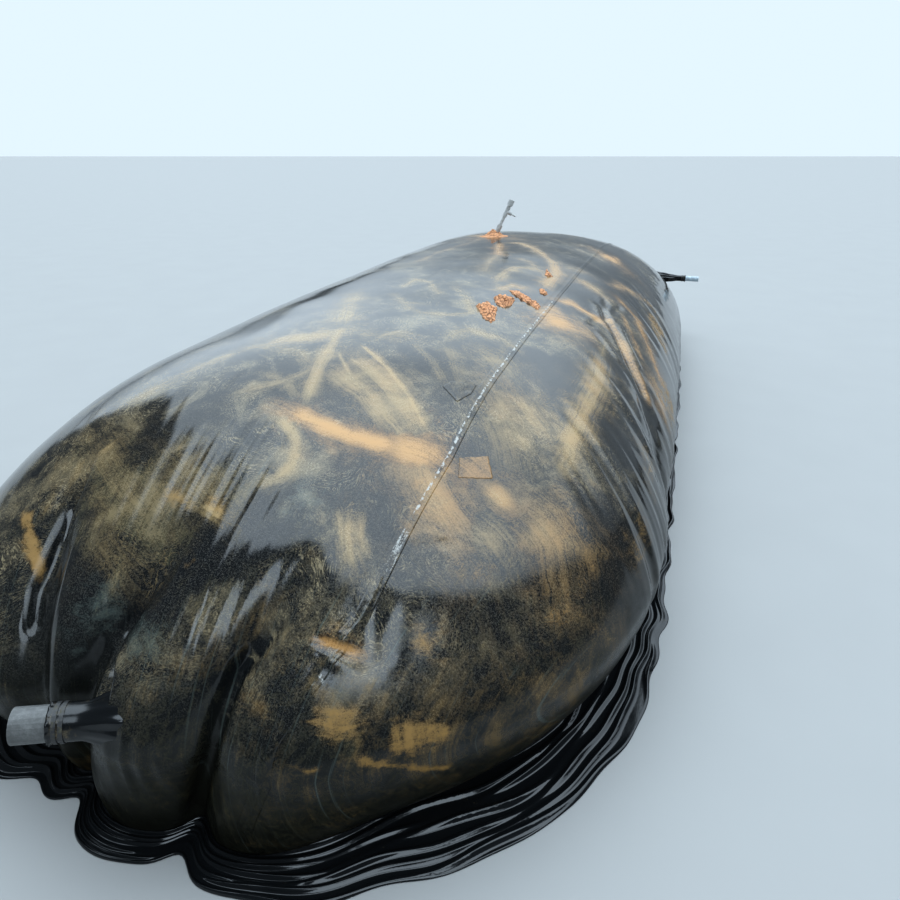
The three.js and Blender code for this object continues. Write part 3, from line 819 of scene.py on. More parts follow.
def waves(value, wavelength, seed):
    """A wandering ripple of about that wavelength along a coordinate, from about -1 to 1."""
    draw = np.random.default_rng(seed)
    total = np.zeros_like(value)
    for _ in range(RIPPLE_SINES):
        rate = 2 * math.pi / (wavelength * draw.uniform(*RIPPLE_SPREAD))
        total = total + np.sin(value * rate + draw.uniform(0, 2 * math.pi))
    return total / RIPPLE_SINES * RIPPLE_GAIN


def swell(points, wavelength, seed):
    """Slow random waves over points in space, from about -1 to 1."""
    draw = np.random.default_rng(seed)
    total = np.zeros(points.shape[:-1])
    for _ in range(SWELL_SINES):
        direction = draw.normal(size=3)
        direction *= 2 * math.pi / (wavelength * draw.uniform(*SWELL_SPREAD)) / np.linalg.norm(direction)
        total = total + np.sin(points @ direction + draw.uniform(0, 2 * math.pi))
    return total / math.sqrt(SWELL_SINES)


def gather_place(points, direction):
    """Where points lie round the place past an end that its wrinkles run to: bearing and reach."""
    reach_x = points[..., 0] - GATHER_X
    reach_y = GATHER_Y - points[..., 1] * direction
    return np.arctan2(reach_x, reach_y), np.hypot(reach_x, reach_y)


def end_wrinkles(points, direction, seed):
    """Tension wrinkles that run to a gathering place past an end, left of the weld's foot."""
    x = points[..., 0]
    bearing, _ = gather_place(points, direction)
    coarse, fine, ragged = WRINKLE_BEARINGS
    ridges = waves(bearing, coarse, seed) + 0.5 * waves(bearing, fine, seed + 1)
    pack = 0.75 + 0.55 * swell(points, 0.5, seed + 3)
    fewer_on_left = 0.62 + 0.38 * rise(x, -0.35, 0.45)
    reach = points[..., 1] * direction + 0.30 * np.abs(x - GATHER_X)
    uneven = 0.15 * swell(points, 0.45, seed + 4) + 0.16 * waves(bearing, ragged, seed + 5)
    fade = rise(reach, WRINKLES_BEGIN + uneven, WRINKLES_FADE)
    left_edge = rise(x, *WRINKLES_LEFT)
    right_edge = rise(x, *WRINKLES_RIGHT)
    return ridges * np.clip(pack * fewer_on_left, 0.10, 1.6) * fade * left_edge * right_edge


def shoulder_ripples(points, side, low_y, high_y, seed):
    """Ripples that run outward over a shoulder between two places along the bag."""
    x, y = points[..., 0], points[..., 1]
    across = y * RIPPLE_SLANT[0] + x * side * RIPPLE_SLANT[1]
    fade = rise(x * side, 1.35, 0.3) * rise(y, low_y, 0.4) * rise(y, high_y, -0.4)
    ridge = waves(across, 0.20, seed) + 0.3 * waves(across, 0.09, seed + 1)
    return ridge * (0.75 + 0.25 * swell(points, 1.1, seed + 2)) * fade


def sheet_displacement(points, surface):
    """How far the sheet stands proud of its smooth shape."""
    height = surface.undulation * (0.7 * swell(points, 1.3, 11) + 0.25 * swell(points, 0.55, 12))
    height = height + surface.end_wrinkle * (end_wrinkles(points, -1, 21) + end_wrinkles(points, 1, 31))
    for side, share, low_y, high_y, seed in RIPPLE_STRETCHES:
        height = height + surface.side_wrinkle * share * shoulder_ripples(points, side, low_y, high_y, seed)
    from_riser = np.hypot(points[..., 0] - RISER_PLACE[0], points[..., 1] - RISER_PLACE[1])
    return height * rise(from_riser, 0.15, 0.35) * rise(points[..., 2], 0.0, 0.12)


# Meshes


def mesh_object(name, vertices, faces):
    """A smooth shaded object in the part's frame."""
    mesh = bpy.data.meshes.new(name)
    mesh.from_pydata([tuple(v) for v in vertices], [], faces)
    mesh.update()
    mesh.shade_smooth()
    made = bpy.data.objects.new(name, mesh)
    bpy.context.scene.collection.objects.link(made)
    return made


def grid_faces(indices):
    """Faces between closed rings of indices, with the corners that coincide left out."""
    faces = []
    upper = indices[:-1]
    lower = indices[1:]
    corners_of_all = [upper, lower, np.roll(lower, -1, axis=1), np.roll(upper, -1, axis=1)]
    for quad in np.stack(corners_of_all, axis=-1).reshape(-1, 4).tolist():
        corners = [c for i, c in enumerate(quad) if c != quad[i - 1]]
        if len(set(corners)) == len(corners) and len(corners) > 2:
            faces.append(corners)
    return faces


def merged(points):
    """The different points of a grid, and for each place in the grid its point's index."""
    flat = points.reshape(-1, 3)
    keys = np.round(flat * MERGE_GRID).astype(np.int64)
    _, first, inverse = np.unique(keys, axis=0, return_index=True, return_inverse=True)
    return flat[first], inverse.reshape(points.shape[:-1])


def ring_object(name, rings, cap_ends=False):
    """An object through rings of points, each closed on itself."""
    vertices, indices = merged(np.asarray(rings, float))
    faces = grid_faces(indices)
    if cap_ends:
        faces.append([int(i) for i in indices[0]])
        faces.append([int(i) for i in indices[-1][::-1]])
    return mesh_object(name, vertices, faces)


def vertex_places(made):
    """The vertices of an object as an array."""
    places = np.zeros(len(made.data.vertices) * 3)
    made.data.vertices.foreach_get("co", places)
    return places.reshape(-1, 3)


def set_attribute(made, name, values):
    """Stores one number or one vector for each vertex."""
    kind = "FLOAT" if values.ndim == 1 else "FLOAT_VECTOR"
    attribute = made.data.attributes.new(name, kind, "POINT")
    key = "value" if values.ndim == 1 else "vector"
    attribute.data.foreach_set(key, values.astype(np.float32).ravel())


def finish_piece(made, material, slot, *nodes):
    """Gives a piece its material, puts it on the part and hides the solids it stands for."""
    made.data.materials.append(material)
    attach(made, "root")
    if nodes:
        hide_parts(*nodes)


# Places on the bag


def sheet_tree():
    """A search tree of the bag's sheet."""
    sheet = bpy.data.objects.get("bag_sheet")
    if sheet is None:
        raise RuntimeError("build the bag's sheet first")
    return BVHTree.FromObject(sheet, bpy.context.evaluated_depsgraph_get())


def sheet_grid_tree(points):
    """A search tree over a grid of rings."""
    vertices, indices = merged(points)
    return BVHTree.FromPolygons([Vector(v) for v in vertices], grid_faces(indices))


def camera_axes(stage):
    """The camera's forward, right and up directions."""
    heading, pitch = stage.camera_heading, stage.camera_pitch
    level = Vector((-math.sin(heading), math.cos(heading), 0.0))
    right = Vector((math.cos(heading), math.sin(heading), 0.0))
    up = Vector((0.0, 0.0, 1.0))
    forward = level * math.cos(pitch) - up * math.sin(pitch)
    return forward, right, level * math.sin(pitch) + up * math.cos(pitch)


def under_pixel(tree, stage, pixel):
    """The place on the sheet that a pixel of the photograph shows, or None."""
    forward, right, up = camera_axes(stage)
    middle = PHOTO_SIDE / 2
    ray = forward * stage.focal_pixels + right * (pixel[0] - middle) - up * (pixel[1] - middle)
    return tree.ray_cast(Vector(stage.camera_place), ray.normalized())[0]


def line_under_pixels(tree, stage, pixels):
    """A line on the sheet under pixels of the photograph, with points between them."""
    places = []
    for start, end in zip(pixels[:-1], pixels[1:]):
        for step in range(STEPS_BETWEEN_PIXELS):
            share = step / STEPS_BETWEEN_PIXELS
            pixel = [a + (b - a) * share for a, b in zip(start, end)]
            places.append(under_pixel(tree, stage, pixel))
    places.append(under_pixel(tree, stage, pixels[-1]))
    return np.array([tuple(p) for p in places if p is not None])


def line_length(line):
    """The length of a line through points."""
    return np.linalg.norm(np.diff(line, axis=0), axis=1).sum()


def distance_to_line(points, line):
    """For each point its distance to a line, how far to one side it is, and how far along."""
    nearest = np.full(len(points), np.inf)
    aside = np.zeros(len(points))
    place = np.zeros(len(points))
    walked = 0.0
    for start, end in zip(line[:-1], line[1:]):
        step = end - start
        length = max(np.linalg.norm(step), TINY)
        share = np.clip((points - start) @ step / length**2, 0.0, 1.0)
        gap = points - start - share[:, None] * step
        distance = np.linalg.norm(gap, axis=1)
        closer = distance < nearest
        turn = (step[0] * gap[:, 1] - step[1] * gap[:, 0]) / length
        nearest = np.where(closer, distance, nearest)
        aside = np.where(closer, turn, aside)
        place = np.where(closer, walked + share * length, place)
        walked += length
    return nearest, aside, place


def near_line(points, line, reach):
    """The indices of the points inside the box round a line, widened by a reach."""
    low, high = line.min(axis=0) - reach, line.max(axis=0) + reach
    return np.nonzero(((points > low) & (points < high)).all(axis=1))[0]


def lay_stroke(points, line, half_width, power, number):
    """The points near a stroke's line, how strong the stroke is there, and the brush's place."""
    chosen = near_line(points, line, half_width * STROKE_REACH)
    distance, aside, along = distance_to_line(points[chosen], line)
    total = line_length(line)
    uneven = 1.0 + 0.20 * swell(points[chosen], 0.32, 200 + number)
    uneven = uneven + 0.16 * swell(points[chosen], 0.11, 300 + number)
    spread = distance * uneven / half_width
    ends = np.minimum(along, total - along) / min(2.0 * half_width, 0.4 * total)
    taper = 0.45 + 0.55 * smooth_step(ends)
    core = STROKE_CORE * np.exp(-(spread**2))
    halo = (1.0 - STROKE_CORE) * np.exp(-((spread / 2.0) ** 2))
    brush = np.column_stack([aside + 0.02 * uneven, along, np.full(len(along), BRUSH_STEP * number)])
    return chosen, power * taper * (core + halo), brush


def paint_film(points, tree, stage, strokes):
    """How strong a film is at each point, from its strokes."""
    film = np.zeros(len(points))
    for number, (pixels, half_width, power) in enumerate(strokes):
        line = line_under_pixels(tree, stage, pixels)
        if len(line) > 1:
            chosen, strength, _ = lay_stroke(points, line, half_width, power, number)
            film[chosen] = np.maximum(film[chosen], strength)
    return film


def paint_tan_mud(points, tree, stage):
    """Strength, orange share and brush place of the tan mud at each point."""
    tan = np.zeros(len(points))
    orange = np.zeros(len(points))
    brush = np.zeros((len(points), 3))
    for number, (pixels, half_width, power, orange_share) in enumerate(TAN_STROKES):
        line = line_under_pixels(tree, stage, pixels)
        if len(line) < 2:
            continue
        chosen, strength, brush_place = lay_stroke(points, line, half_width, power, number)
        stronger = strength > tan[chosen]
        kept = chosen[stronger]
        tan[kept] = strength[stronger]
        orange[kept] = orange_share
        brush[kept] = brush_place[stronger]
    return tan, orange, brush


def press_creases(points, normals, tree, stage):
    """Moves the points in along the creases, and out a little beside them."""
    moved = points.copy()
    for creases, slow_start in CREASE_KINDS:
        for pixels, half_width, depth in creases:
            line = line_under_pixels(tree, stage, pixels)
            chosen = near_line(points, line, half_width * CREASE_REACH)
            distance, _, place = distance_to_line(points[chosen], line)
            total = line_length(line)
            start = rise(place, 0.0, CREASE_END + slow_start * total)
            end = rise(place, total, -CREASE_END)
            groove = np.exp(-((distance / half_width) ** 2))
            lip = np.exp(-(((distance - 2 * half_width) / half_width) ** 2))
            push = depth * (CREASE_LIP * lip - groove) * start * end
            moved[chosen] += normals[chosen] * push[:, None]
    return moved


# Node helpers


def plug(tree, value, socket):
    """Links a value to a socket, or sets the socket where the value is a plain one."""
    if isinstance(value, bpy.types.NodeSocket):
        tree.links.new(value, socket)
    else:
        socket.default_value = value


def put(tree, kind, inputs, **settings):
    """Adds a node, with values or links for its inputs."""
    node = tree.nodes.new(kind)
    for name, value in settings.items():
        setattr(node, name, value)
    for socket, value in inputs.items():
        plug(tree, value, node.inputs[socket])
    return node


def compute(tree, operation, first, second=0.0, third=0.0):
    """A sum, product or other operation on numbers."""
    inputs = {0: first, 1: second, 2: third}
    return put(tree, "ShaderNodeMath", inputs, operation=operation).outputs[0]


def times(tree, *factors):
    """The product of several values."""
    total = factors[0]
    for factor in factors[1:]:
        total = compute(tree, "MULTIPLY", total, factor)
    return total


def added(tree, start, *terms):
    """A start value plus each socket times its weight."""
    total = start
    for socket, weight in terms:
        total = compute(tree, "MULTIPLY_ADD", socket, weight, total)
    return total


def patterned(tree, start, patterns, **weights):
    """A start value plus each named pattern times its weight, measured from the pattern's middle."""
    middle = PATTERN_MIDDLE * sum(weights.values())
    terms = [(patterns[name], weight) for name, weight in weights.items()]
    return added(tree, start - middle, *terms)


def between(tree, value, low, high, out_low=0.0, out_high=1.0):
    """A value brought smoothly from one range to another."""
    inputs = {"Value": value, "From Min": low, "From Max": high, "To Min": out_low, "To Max": out_high}
    node = put(tree, "ShaderNodeMapRange", inputs, interpolation_type="SMOOTHSTEP")
    return node.outputs["Result"]


def mix(tree, share, first, second):
    """A number part of the way from one value to another."""
    inputs = {0: share, 2: first, 3: second}
    return put(tree, "ShaderNodeMix", inputs, data_type="FLOAT").outputs[0]


def blend_colour(tree, share, first, second):
    """One colour laid over another."""
    node = put(tree, "ShaderNodeMix", {0: share}, data_type="RGBA")
    for socket, value in ((6, first), (7, second)):
        linked = isinstance(value, bpy.types.NodeSocket)
        plug(tree, value if linked else (*value, 1.0), node.inputs[socket])
    return node.outputs[2]


def contour_lines(tree, phase, width):
    """Thin lines where a phase passes each half turn: 1 on the line and 0 beside it."""
    wave = compute(tree, "ABSOLUTE", compute(tree, "SINE", phase))
    return between(tree, wave, 0.0, width, 1.0, 0.0)


def split_axes(tree, vector):
    """The three numbers of a vector, by X, Y and Z."""
    return put(tree, "ShaderNodeSeparateXYZ", {0: vector}).outputs


def object_place(tree):
    """The place of a surface point in the part's frame."""
    return put(tree, "ShaderNodeTexCoord", {}).outputs["Object"]


def carried(tree, name):
    """A number that the mesh carries for each vertex."""
    return put(tree, "ShaderNodeAttribute", {}, attribute_name=name).outputs["Fac"]


def carried_vector(tree, name):
    """A vector that the mesh carries for each vertex."""
    return put(tree, "ShaderNodeAttribute", {}, attribute_name=name).outputs["Vector"]


def noise(tree, place, scale, detail, roughness, distortion=0.0):
    """A cloudy pattern's node."""
    inputs = {
        "Vector": place,
        "Scale": scale,
        "Detail": detail,
        "Roughness": roughness,
        "Distortion": distortion,
    }
    return put(tree, "ShaderNodeTexNoise", inputs)


def grain(tree, place, scale, detail, roughness, distortion=0.0):
    """A cloudy pattern from 0 to 1."""
    return noise(tree, place, scale, detail, roughness, distortion).outputs["Fac"]


def drawn_grain(tree, place, fineness, detail, roughness, distortion=0.0):
    """A cloudy pattern drawn out along some axes, with how fine it is on each of the three."""
    inputs = {0: place, 1: fineness}
    drawn = put(tree, "ShaderNodeVectorMath", inputs, operation="MULTIPLY").outputs[0]
    return grain(tree, drawn, 1.0, detail, roughness, distortion)


def warped_place(tree, place, scale, amount):
    """A place pushed about by a slow cloudy pattern."""
    cloud = noise(tree, place, scale, detail=3.0, roughness=0.55).outputs["Color"]
    middle = (PATTERN_MIDDLE,) * 3
    shift = put(tree, "ShaderNodeVectorMath", {0: cloud, 1: middle}, operation="SUBTRACT").outputs[0]
    inputs = {0: shift, 1: (amount, amount, amount), 2: place}
    return put(tree, "ShaderNodeVectorMath", inputs, operation="MULTIPLY_ADD").outputs[0]


def new_material(name):
    """A material, its node tree, its shader, and the place of a surface point."""
    material = bpy.data.materials.new(name)
    material.use_nodes = True
    tree = material.node_tree
    return material, tree, tree.nodes["Principled BSDF"], object_place(tree)


def finish_shader(tree, shader, colour, roughness, height, strength, relief_depth):
    """Gives a shader its colour and roughness, and roughens it by a height pattern."""
    plug(tree, colour, shader.inputs["Base Color"])
    plug(tree, roughness, shader.inputs["Roughness"])
    inputs = {"Height": height, "Strength": strength, "Distance": relief_depth}
    bump = put(tree, "ShaderNodeBump", inputs)
    plug(tree, bump.outputs["Normal"], shader.inputs["Normal"])


# Materials


def shaded(colour, factor):
    """A colour made darker or paler."""
    return tuple(min(1.0, part * factor) for part in colour)


def sheet_patterns(tree, place):
    """Cloudy, marbled and grainy patterns that the mud films share."""
    swirled = warped_place(tree, place, scale=1.2, amount=0.45)
    torn = warped_place(tree, place, scale=3.0, amount=0.20)
    cracked_place = warped_place(tree, place, scale=4.0, amount=0.22)
    cracked = grain(tree, cracked_place, scale=7.0, detail=9.0, roughness=0.70, distortion=0.6)
    from_middle = compute(tree, "ABSOLUTE", compute(tree, "SUBTRACT", cracked, PATTERN_MIDDLE))
    return {
        "slow": grain(tree, swirled, scale=1.1, detail=6.0, roughness=0.55),
        "marble": grain(tree, swirled, scale=2.6, detail=10.0, roughness=0.60, distortion=1.5),
        "cloudy": grain(tree, torn, scale=6.5, detail=10.0, roughness=0.72),
        "veins": between(tree, from_middle, 0.0, 0.055, 1.0, 0.0),
        "speckle": grain(tree, place, scale=120.0, detail=4.0, roughness=0.75),
        "grit": grain(tree, place, scale=300.0, detail=2.0, roughness=0.60),
    }


def dust_film(tree, seen, facing_up):
    """Thin grey dust in fine grains, where the sheet faces up."""
    grains = between(tree, patterned(tree, 0.5, seen, speckle=1.0, grit=1.1), 0.46, 0.72)
    return times(tree, grains, between(tree, facing_up, 0.25, 0.70))


def veil_film(tree, seen, facing_up):
    """The thin marbled veil of mud water that dried all over the top, with its contour lines."""
    clouds = patterned(tree, 0.10, seen, marble=2.8, slow=2.6, cloudy=1.2, speckle=1.0)
    veil = between(tree, clouds, 0.0, 0.95)
    lines = contour_lines(tree, times(tree, seen["marble"], 85.0), width=0.50)
    slow_part = between(tree, seen["slow"], 0.42, 0.54)
    cloudy_part = between(tree, seen["cloudy"], 0.38, 0.58)
    lines = times(tree, lines, slow_part, cloudy_part)
    total = added(tree, times(tree, veil, 0.30), (lines, 0.60))
    return times(tree, total, between(tree, facing_up, 0.50, 0.86))


def stroke_film(tree, seen):
    """Wiped washes of tan mud, with the fine lines of the wiping in them and drying lines beside."""
    tan = carried(tree, "tan_mud")
    brush = carried_vector(tree, "brush_place")
    lines = drawn_grain(tree, brush, fineness=(70.0, 1.1, 1.0), detail=7.0, roughness=0.70, distortion=0.5)
    seen = {**seen, "lines": lines}
    clouds = patterned(tree, 0.40, seen, marble=1.5, lines=1.6, speckle=1.4, grit=0.8, cloudy=0.6)
    uneven = between(tree, added(tree, clouds, (tan, 0.9)), 0.15, 1.10)
    wash = times(tree, compute(tree, "POWER", tan, 0.7), uneven)
    phase = added(tree, patterned(tree, 0.0, seen, marble=55.0), (tan, 22.0))
    drying_lines = contour_lines(tree, phase, width=0.55)
    beside = times(tree, between(tree, tan, 0.03, 0.16), between(tree, seen["cloudy"], 0.36, 0.58))
    return compute(tree, "MAXIMUM", wash, times(tree, drying_lines, beside, 0.42))


def grainy_film(tree, seen):
    """The thin cracked film of the near face and the flanks: smears, fine veins and grains."""
    olive = carried(tree, "olive_film")
    run = carried_vector(tree, "gather_run")
    smears = drawn_grain(tree, run, fineness=(13.0, 2.4, 0.0), detail=9.0, roughness=0.70, distortion=1.2)
    wipes = drawn_grain(tree, run, fineness=(60.0, 6.0, 0.0), detail=6.0, roughness=0.72, distortion=0.5)
    seen = {**seen, "smears": smears, "wipes": wipes}
    clouds = patterned(tree, -0.50, seen, slow=2.0, cloudy=1.9, marble=1.2, smears=2.3, wipes=1.3)
    grains = added(tree, clouds, (patterned(tree, 0.0, seen, speckle=0.9, grit=0.8), 1.0), (olive, 0.9))
    patchy = between(tree, grains, 0.0, 1.15)
    slow_part = between(tree, seen["slow"], 0.40, 0.55)
    grainy_part = between(tree, seen["speckle"], 0.30, 0.60)
    veins = times(tree, seen["veins"], slow_part, grainy_part, 0.34)
    total = compute(tree, "MAXIMUM", times(tree, patchy, 0.95), veins)
    return times(tree, total, between(tree, olive, 0.0, 0.45))


def soft_film(tree, seen, place, name):
    """A film whose strength the mesh carries, broken up at its edges by clouds and grains."""
    strength = carried(tree, name)
    rubbed = drawn_grain(tree, place, fineness=(9.0, 9.0, 34.0), detail=7.0, roughness=0.70, distortion=0.6)
    seen = {**seen, "rubbed": rubbed}
    clouds = patterned(tree, -0.16, seen, cloudy=1.9, marble=1.0, speckle=0.7, grit=0.7, rubbed=1.7)
    broken = between(tree, added(tree, clouds, (strength, 1.0)), 0.0, 0.9)
    return times(tree, broken, between(tree, strength, 0.0, 0.6))


def pale_streaks(tree, seen):
    """Fine pale streaks that run down between the wrinkles of the near end."""
    run = carried_vector(tree, "gather_run")
    near_end = split_axes(tree, run)["Z"]
    lines = drawn_grain(tree, run, fineness=(58.0, 1.5, 0.0), detail=5.0, roughness=0.66)
    return times(tree, between(tree, lines, 0.57, 0.72), near_end, between(tree, seen["slow"], 0.40, 0.56))


def foot_film(tree, seen, place):
    """A dull, nearly black film near the floor, thinner upward, that makes the sheet darker and duller
    towards the bottom.
    """
    height = split_axes(tree, place)["Z"]
    uneven_height = added(tree, patterned(tree, 0.0, seen, cloudy=0.45, slow=0.5), (height, 1.0))
    return between(tree, uneven_height, 0.26, 0.92, 1.0, 0.0)


def weld_residue(tree, seen):
    """White residue: a broken bead along the weld's middle, and where it is smeared."""
    run = carried_vector(tree, "weld_place")
    aside, _, level = split_axes(tree, run)
    patchy = drawn_grain(tree, run, fineness=(24.0, 17.0, 0.0), detail=4.0, roughness=0.70)
    streaks = drawn_grain(tree, run, fineness=(90.0, 9.0, 0.0), detail=5.0, roughness=0.70)
    seen = {**seen, "patchy": patchy, "streaks": streaks}
    wandering = added(tree, patterned(tree, 0.0, seen, patchy=0.03), (aside, 1.0))
    line = between(tree, compute(tree, "ABSOLUTE", wandering), 0.002, 0.008, 1.0, 0.0)
    broken = between(tree, added(tree, patterned(tree, 0.0, seen, patchy=1.0), (level, 0.5)), 0.47, 0.56)
    bead = times(tree, line, broken, between(tree, level, 0.05, 0.40))
    smear = carried(tree, "weld_smear")
    rubbed = added(tree, patterned(tree, -0.75, seen, streaks=2.2, speckle=1.2), (smear, 1.0))
    smeared = times(tree, between(tree, rubbed, 0.0, 0.5), between(tree, smear, 0.0, 0.3))
    return compute(tree, "MAXIMUM", bead, smeared)


def sheet_films(tree, seen, place, with_residue):
    """How strong each film on the bag's sheet is, from the lowest to the one on top."""
    facing_up = carried(tree, "facing_up")
    films = {
        "dust": dust_film(tree, seen, facing_up),
        "veil": veil_film(tree, seen, facing_up),
        "water": soft_film(tree, seen, place, "water_film"),
        "foot": foot_film(tree, seen, place),
        "olive": grainy_film(tree, seen),
        "streaks": pale_streaks(tree, seen),
        "ochre": soft_film(tree, seen, place, "ochre_film"),
        "strokes": stroke_film(tree, seen),
    }
    if with_residue:
        films["residue"] = weld_residue(tree, seen)
    return films


def film_colours(tree, seen, colours):
    """The colour of each film. The grime's and the tan mud's change from place to place."""
    warm = between(tree, patterned(tree, 0.5, seen, slow=1.0, cloudy=0.8), 0.50, 0.66)
    orange = carried(tree, "orange_share")
    hue = between(tree, added(tree, patterned(tree, 0.0, seen, cloudy=0.8), (orange, 1.0)), 0.2, 0.9)
    return {
        "dust": colours.dust,
        "veil": colours.veil,
        "water": colours.water_film,
        "foot": colours.splash,
        "olive": blend_colour(tree, times(tree, warm, 0.6), colours.olive, colours.ochre),
        "streaks": colours.water_film,
        "ochre": colours.ochre,
        "strokes": blend_colour(tree, hue, colours.tan, colours.orange),
        "residue": colours.residue,
    }


def muddy_sheet_material(name, colours, with_residue=False):
    """Glossy black sheet with the mud films that the mesh carries."""
    material, tree, shader, place = new_material(name)
    seen = sheet_patterns(tree, place)
    films = sheet_films(tree, seen, place, with_residue)
    film_colour = film_colours(tree, seen, colours)
    colour = colours.black
    for film, strength in films.items():
        share = times(tree, strength, FILM_COVER[film])
        colour = blend_colour(tree, share, colour, film_colour[film])
    dulled = [(films[film], weight) for film, weight in FILM_ROUGHNESS.items() if film in films]
    shine = added(tree, FULL_SHINE, *((films[film], -weight) for film, weight in FILM_DULLNESS.items()))
    shine = between(tree, shine, LEAST_SHINE, FULL_SHINE, LEAST_SHINE, FULL_SHINE)
    plug(tree, shine, shader.inputs["Specular IOR Level"])
    plug(tree, SHEET_IOR, shader.inputs["IOR"])
    grains = patterned(tree, 0.0, seen, speckle=0.15)
    height = added(tree, grains, (films["strokes"], 0.5), (films["olive"], 0.4))
    finish_shader(tree, shader, colour, added(tree, SHEET_ROUGHNESS, *dulled), height, 0.18, 0.003)
    return material


def dark_sheet_material(name, colours, mud_level, roughness):
    """Loose black sheet with a little mud in cloudy patches."""
    material, tree, shader, place = new_material(name)
    torn = warped_place(tree, place, scale=3.0, amount=0.15)
    seen = {
        "cloudy": grain(tree, torn, scale=9.0, detail=6.0, roughness=0.65),
        "speckle": grain(tree, place, scale=70.0, detail=3.0, roughness=0.70),
    }
    film = between(tree, patterned(tree, mud_level, seen, cloudy=2.4, speckle=0.7), 0.0, 1.0)
    mud = blend_colour(tree, seen["cloudy"], colours.olive, colours.tan)
    colour = blend_colour(tree, times(tree, film, 0.75), colours.black, mud)
    height = patterned(tree, 0.0, seen, cloudy=0.6, speckle=0.25)
    plug(tree, SHEET_IOR, shader.inputs["IOR"])
    finish_shader(tree, shader, colour, added(tree, roughness, (film, 0.35)), height, 0.25, 0.003)
    return material


def crust_material(colours):
    """Dried crumbling clay."""
    material, tree, shader, place = new_material("dried clay crust")
    seen = {
        "cloudy": grain(tree, place, scale=22.0, detail=5.0, roughness=0.70),
        "crumbs": grain(tree, place, scale=160.0, detail=4.0, roughness=0.75),
    }
    inputs = {"Vector": warped_place(tree, place, scale=14.0, amount=0.03), "Scale": 26.0}
    cells = put(tree, "ShaderNodeTexVoronoi", inputs, feature="DISTANCE_TO_EDGE").outputs["Distance"]
    whole = between(tree, cells, 0.02, 0.09)
    shade = between(tree, patterned(tree, 0.5, seen, cloudy=1.0, crumbs=0.8), 0.30, 0.75)
    lumps = blend_colour(tree, shade, colours.clod, shaded(colours.clod, 1.45))
    colour = blend_colour(tree, whole, shaded(colours.clod, 0.42), lumps)
    height = added(tree, patterned(tree, 0.0, seen, cloudy=0.7, crumbs=0.6), (whole, 0.8))
    finish_shader(tree, shader, colour, 0.92, height, 0.8, 0.006)
    return material


def pipe_material(name, colours, base, mud_height, mud_reach):
    """Weathered plastic pipe with clay splashed up from below."""
    material, tree, shader, place = new_material(name)
    seen = {
        "cloudy": grain(tree, place, scale=30.0, detail=5.0, roughness=0.65),
        "speckle": grain(tree, place, scale=190.0, detail=3.0, roughness=0.70),
    }
    level = split_axes(tree, place)["Z"]
    clouds = patterned(tree, mud_height / mud_reach, seen, cloudy=2.2, speckle=0.8)
    mud = between(tree, added(tree, clouds, (level, -1.0 / mud_reach)), -0.3, 0.5)
    worn = between(tree, patterned(tree, 0.5, seen, cloudy=1.0, speckle=0.5), 0.35, 0.70)
    plastic = blend_colour(tree, worn, shaded(base, 0.62), base)
    colour = blend_colour(tree, times(tree, mud, 0.9), plastic, colours.clod)
    roughness = added(tree, patterned(tree, 0.42, seen, speckle=0.2), (mud, 0.4))
    height = added(tree, patterned(tree, 0.0, seen, speckle=0.4), (mud, 0.8))
    finish_shader(tree, shader, colour, roughness, height, 0.4, 0.002)
    return material


def strap_material(colours):
    """Dull rubber strap with mud dried on it."""
    material, tree, shader, place = new_material("strap rubber")
    seen = {
        "cloudy": grain(tree, place, scale=40.0, detail=5.0, roughness=0.70),
        "grit": grain(tree, place, scale=260.0, detail=2.0, roughness=0.60),
    }
    dried = between(tree, patterned(tree, 0.5, seen, cloudy=1.0, grit=0.4), 0.50, 0.68)
    colour = blend_colour(tree, times(tree, dried, 0.6), colours.strap, colours.olive)
    height = added(tree, patterned(tree, 0.0, seen, grit=0.3), (dried, 0.6))
    finish_shader(tree, shader, colour, added(tree, 0.42, (dried, 0.35)), height, 0.3, 0.001)
    return material


def floor_material(colours):
    """The plain pale floor."""
    material, tree, shader, place = new_material("pale floor")
    cloudy = grain(tree, place, scale=1.4, detail=3.0, roughness=0.50)
    colour = blend_colour(tree, cloudy, shaded(colours.floor, 0.94), colours.floor)
    plug(tree, colour, shader.inputs["Base Color"])
    plug(tree, 0.85, shader.inputs["Roughness"])
    return material


# The mud that each piece carries


def painted_crease_shade(points, tree, stage):
    """Painted shade: 1 in the creases of the near pleats, where the films are cleared so that they read
    dark, and 0 away from them.
    """
    nearness = np.zeros(len(points))
    for pixels, half_width, _ in PLEAT_CREASES:
        line = line_under_pixels(tree, stage, pixels)
        reach = CREASE_SHADE_WIDTH * half_width
        chosen = near_line(points, line, reach)
        distance = distance_to_line(points[chosen], line)[0]
        nearness[chosen] = np.maximum(nearness[chosen], rise(distance, reach, -half_width))
    return nearness


def mud_at(places, tree, stage, facing_up):
    """How strong each film of mud is at places on the sheet."""
    x, y, z = places.T
    steep = 1.0 - rise(facing_up, 0.66, 0.24)
    hidden = np.clip(rise(y, 1.5, 2.0) + rise(x, -1.2, -0.5), 0.0, 1.0)
    near_face = rise(y, -3.9, -0.6) * steep * rise(z, -0.70, 0.80)
    # Painted shade: the films are cleared from the creases of the near pleats so that they read as dark
    # lines
    outside_crease_shade = 1.0 - painted_crease_shade(places, tree, stage)
    tan, orange, brush = paint_tan_mud(places, tree, stage)
    olive = paint_film(places, tree, stage, OLIVE_STROKES)
    olive = np.maximum.reduce([olive, HIDDEN_OLIVE * hidden * steep, NEAR_FACE_OLIVE * near_face])
    return {
        "tan_mud": np.maximum(tan, HIDDEN_TAN * hidden * (1.0 - steep)),
        "orange_share": orange,
        "brush_place": brush,
        "olive_film": olive * outside_crease_shade,
        "ochre_film": paint_film(places, tree, stage, OCHRE_STROKES),
        "water_film": paint_film(places, tree, stage, WATER_STROKES) * outside_crease_shade,
    }


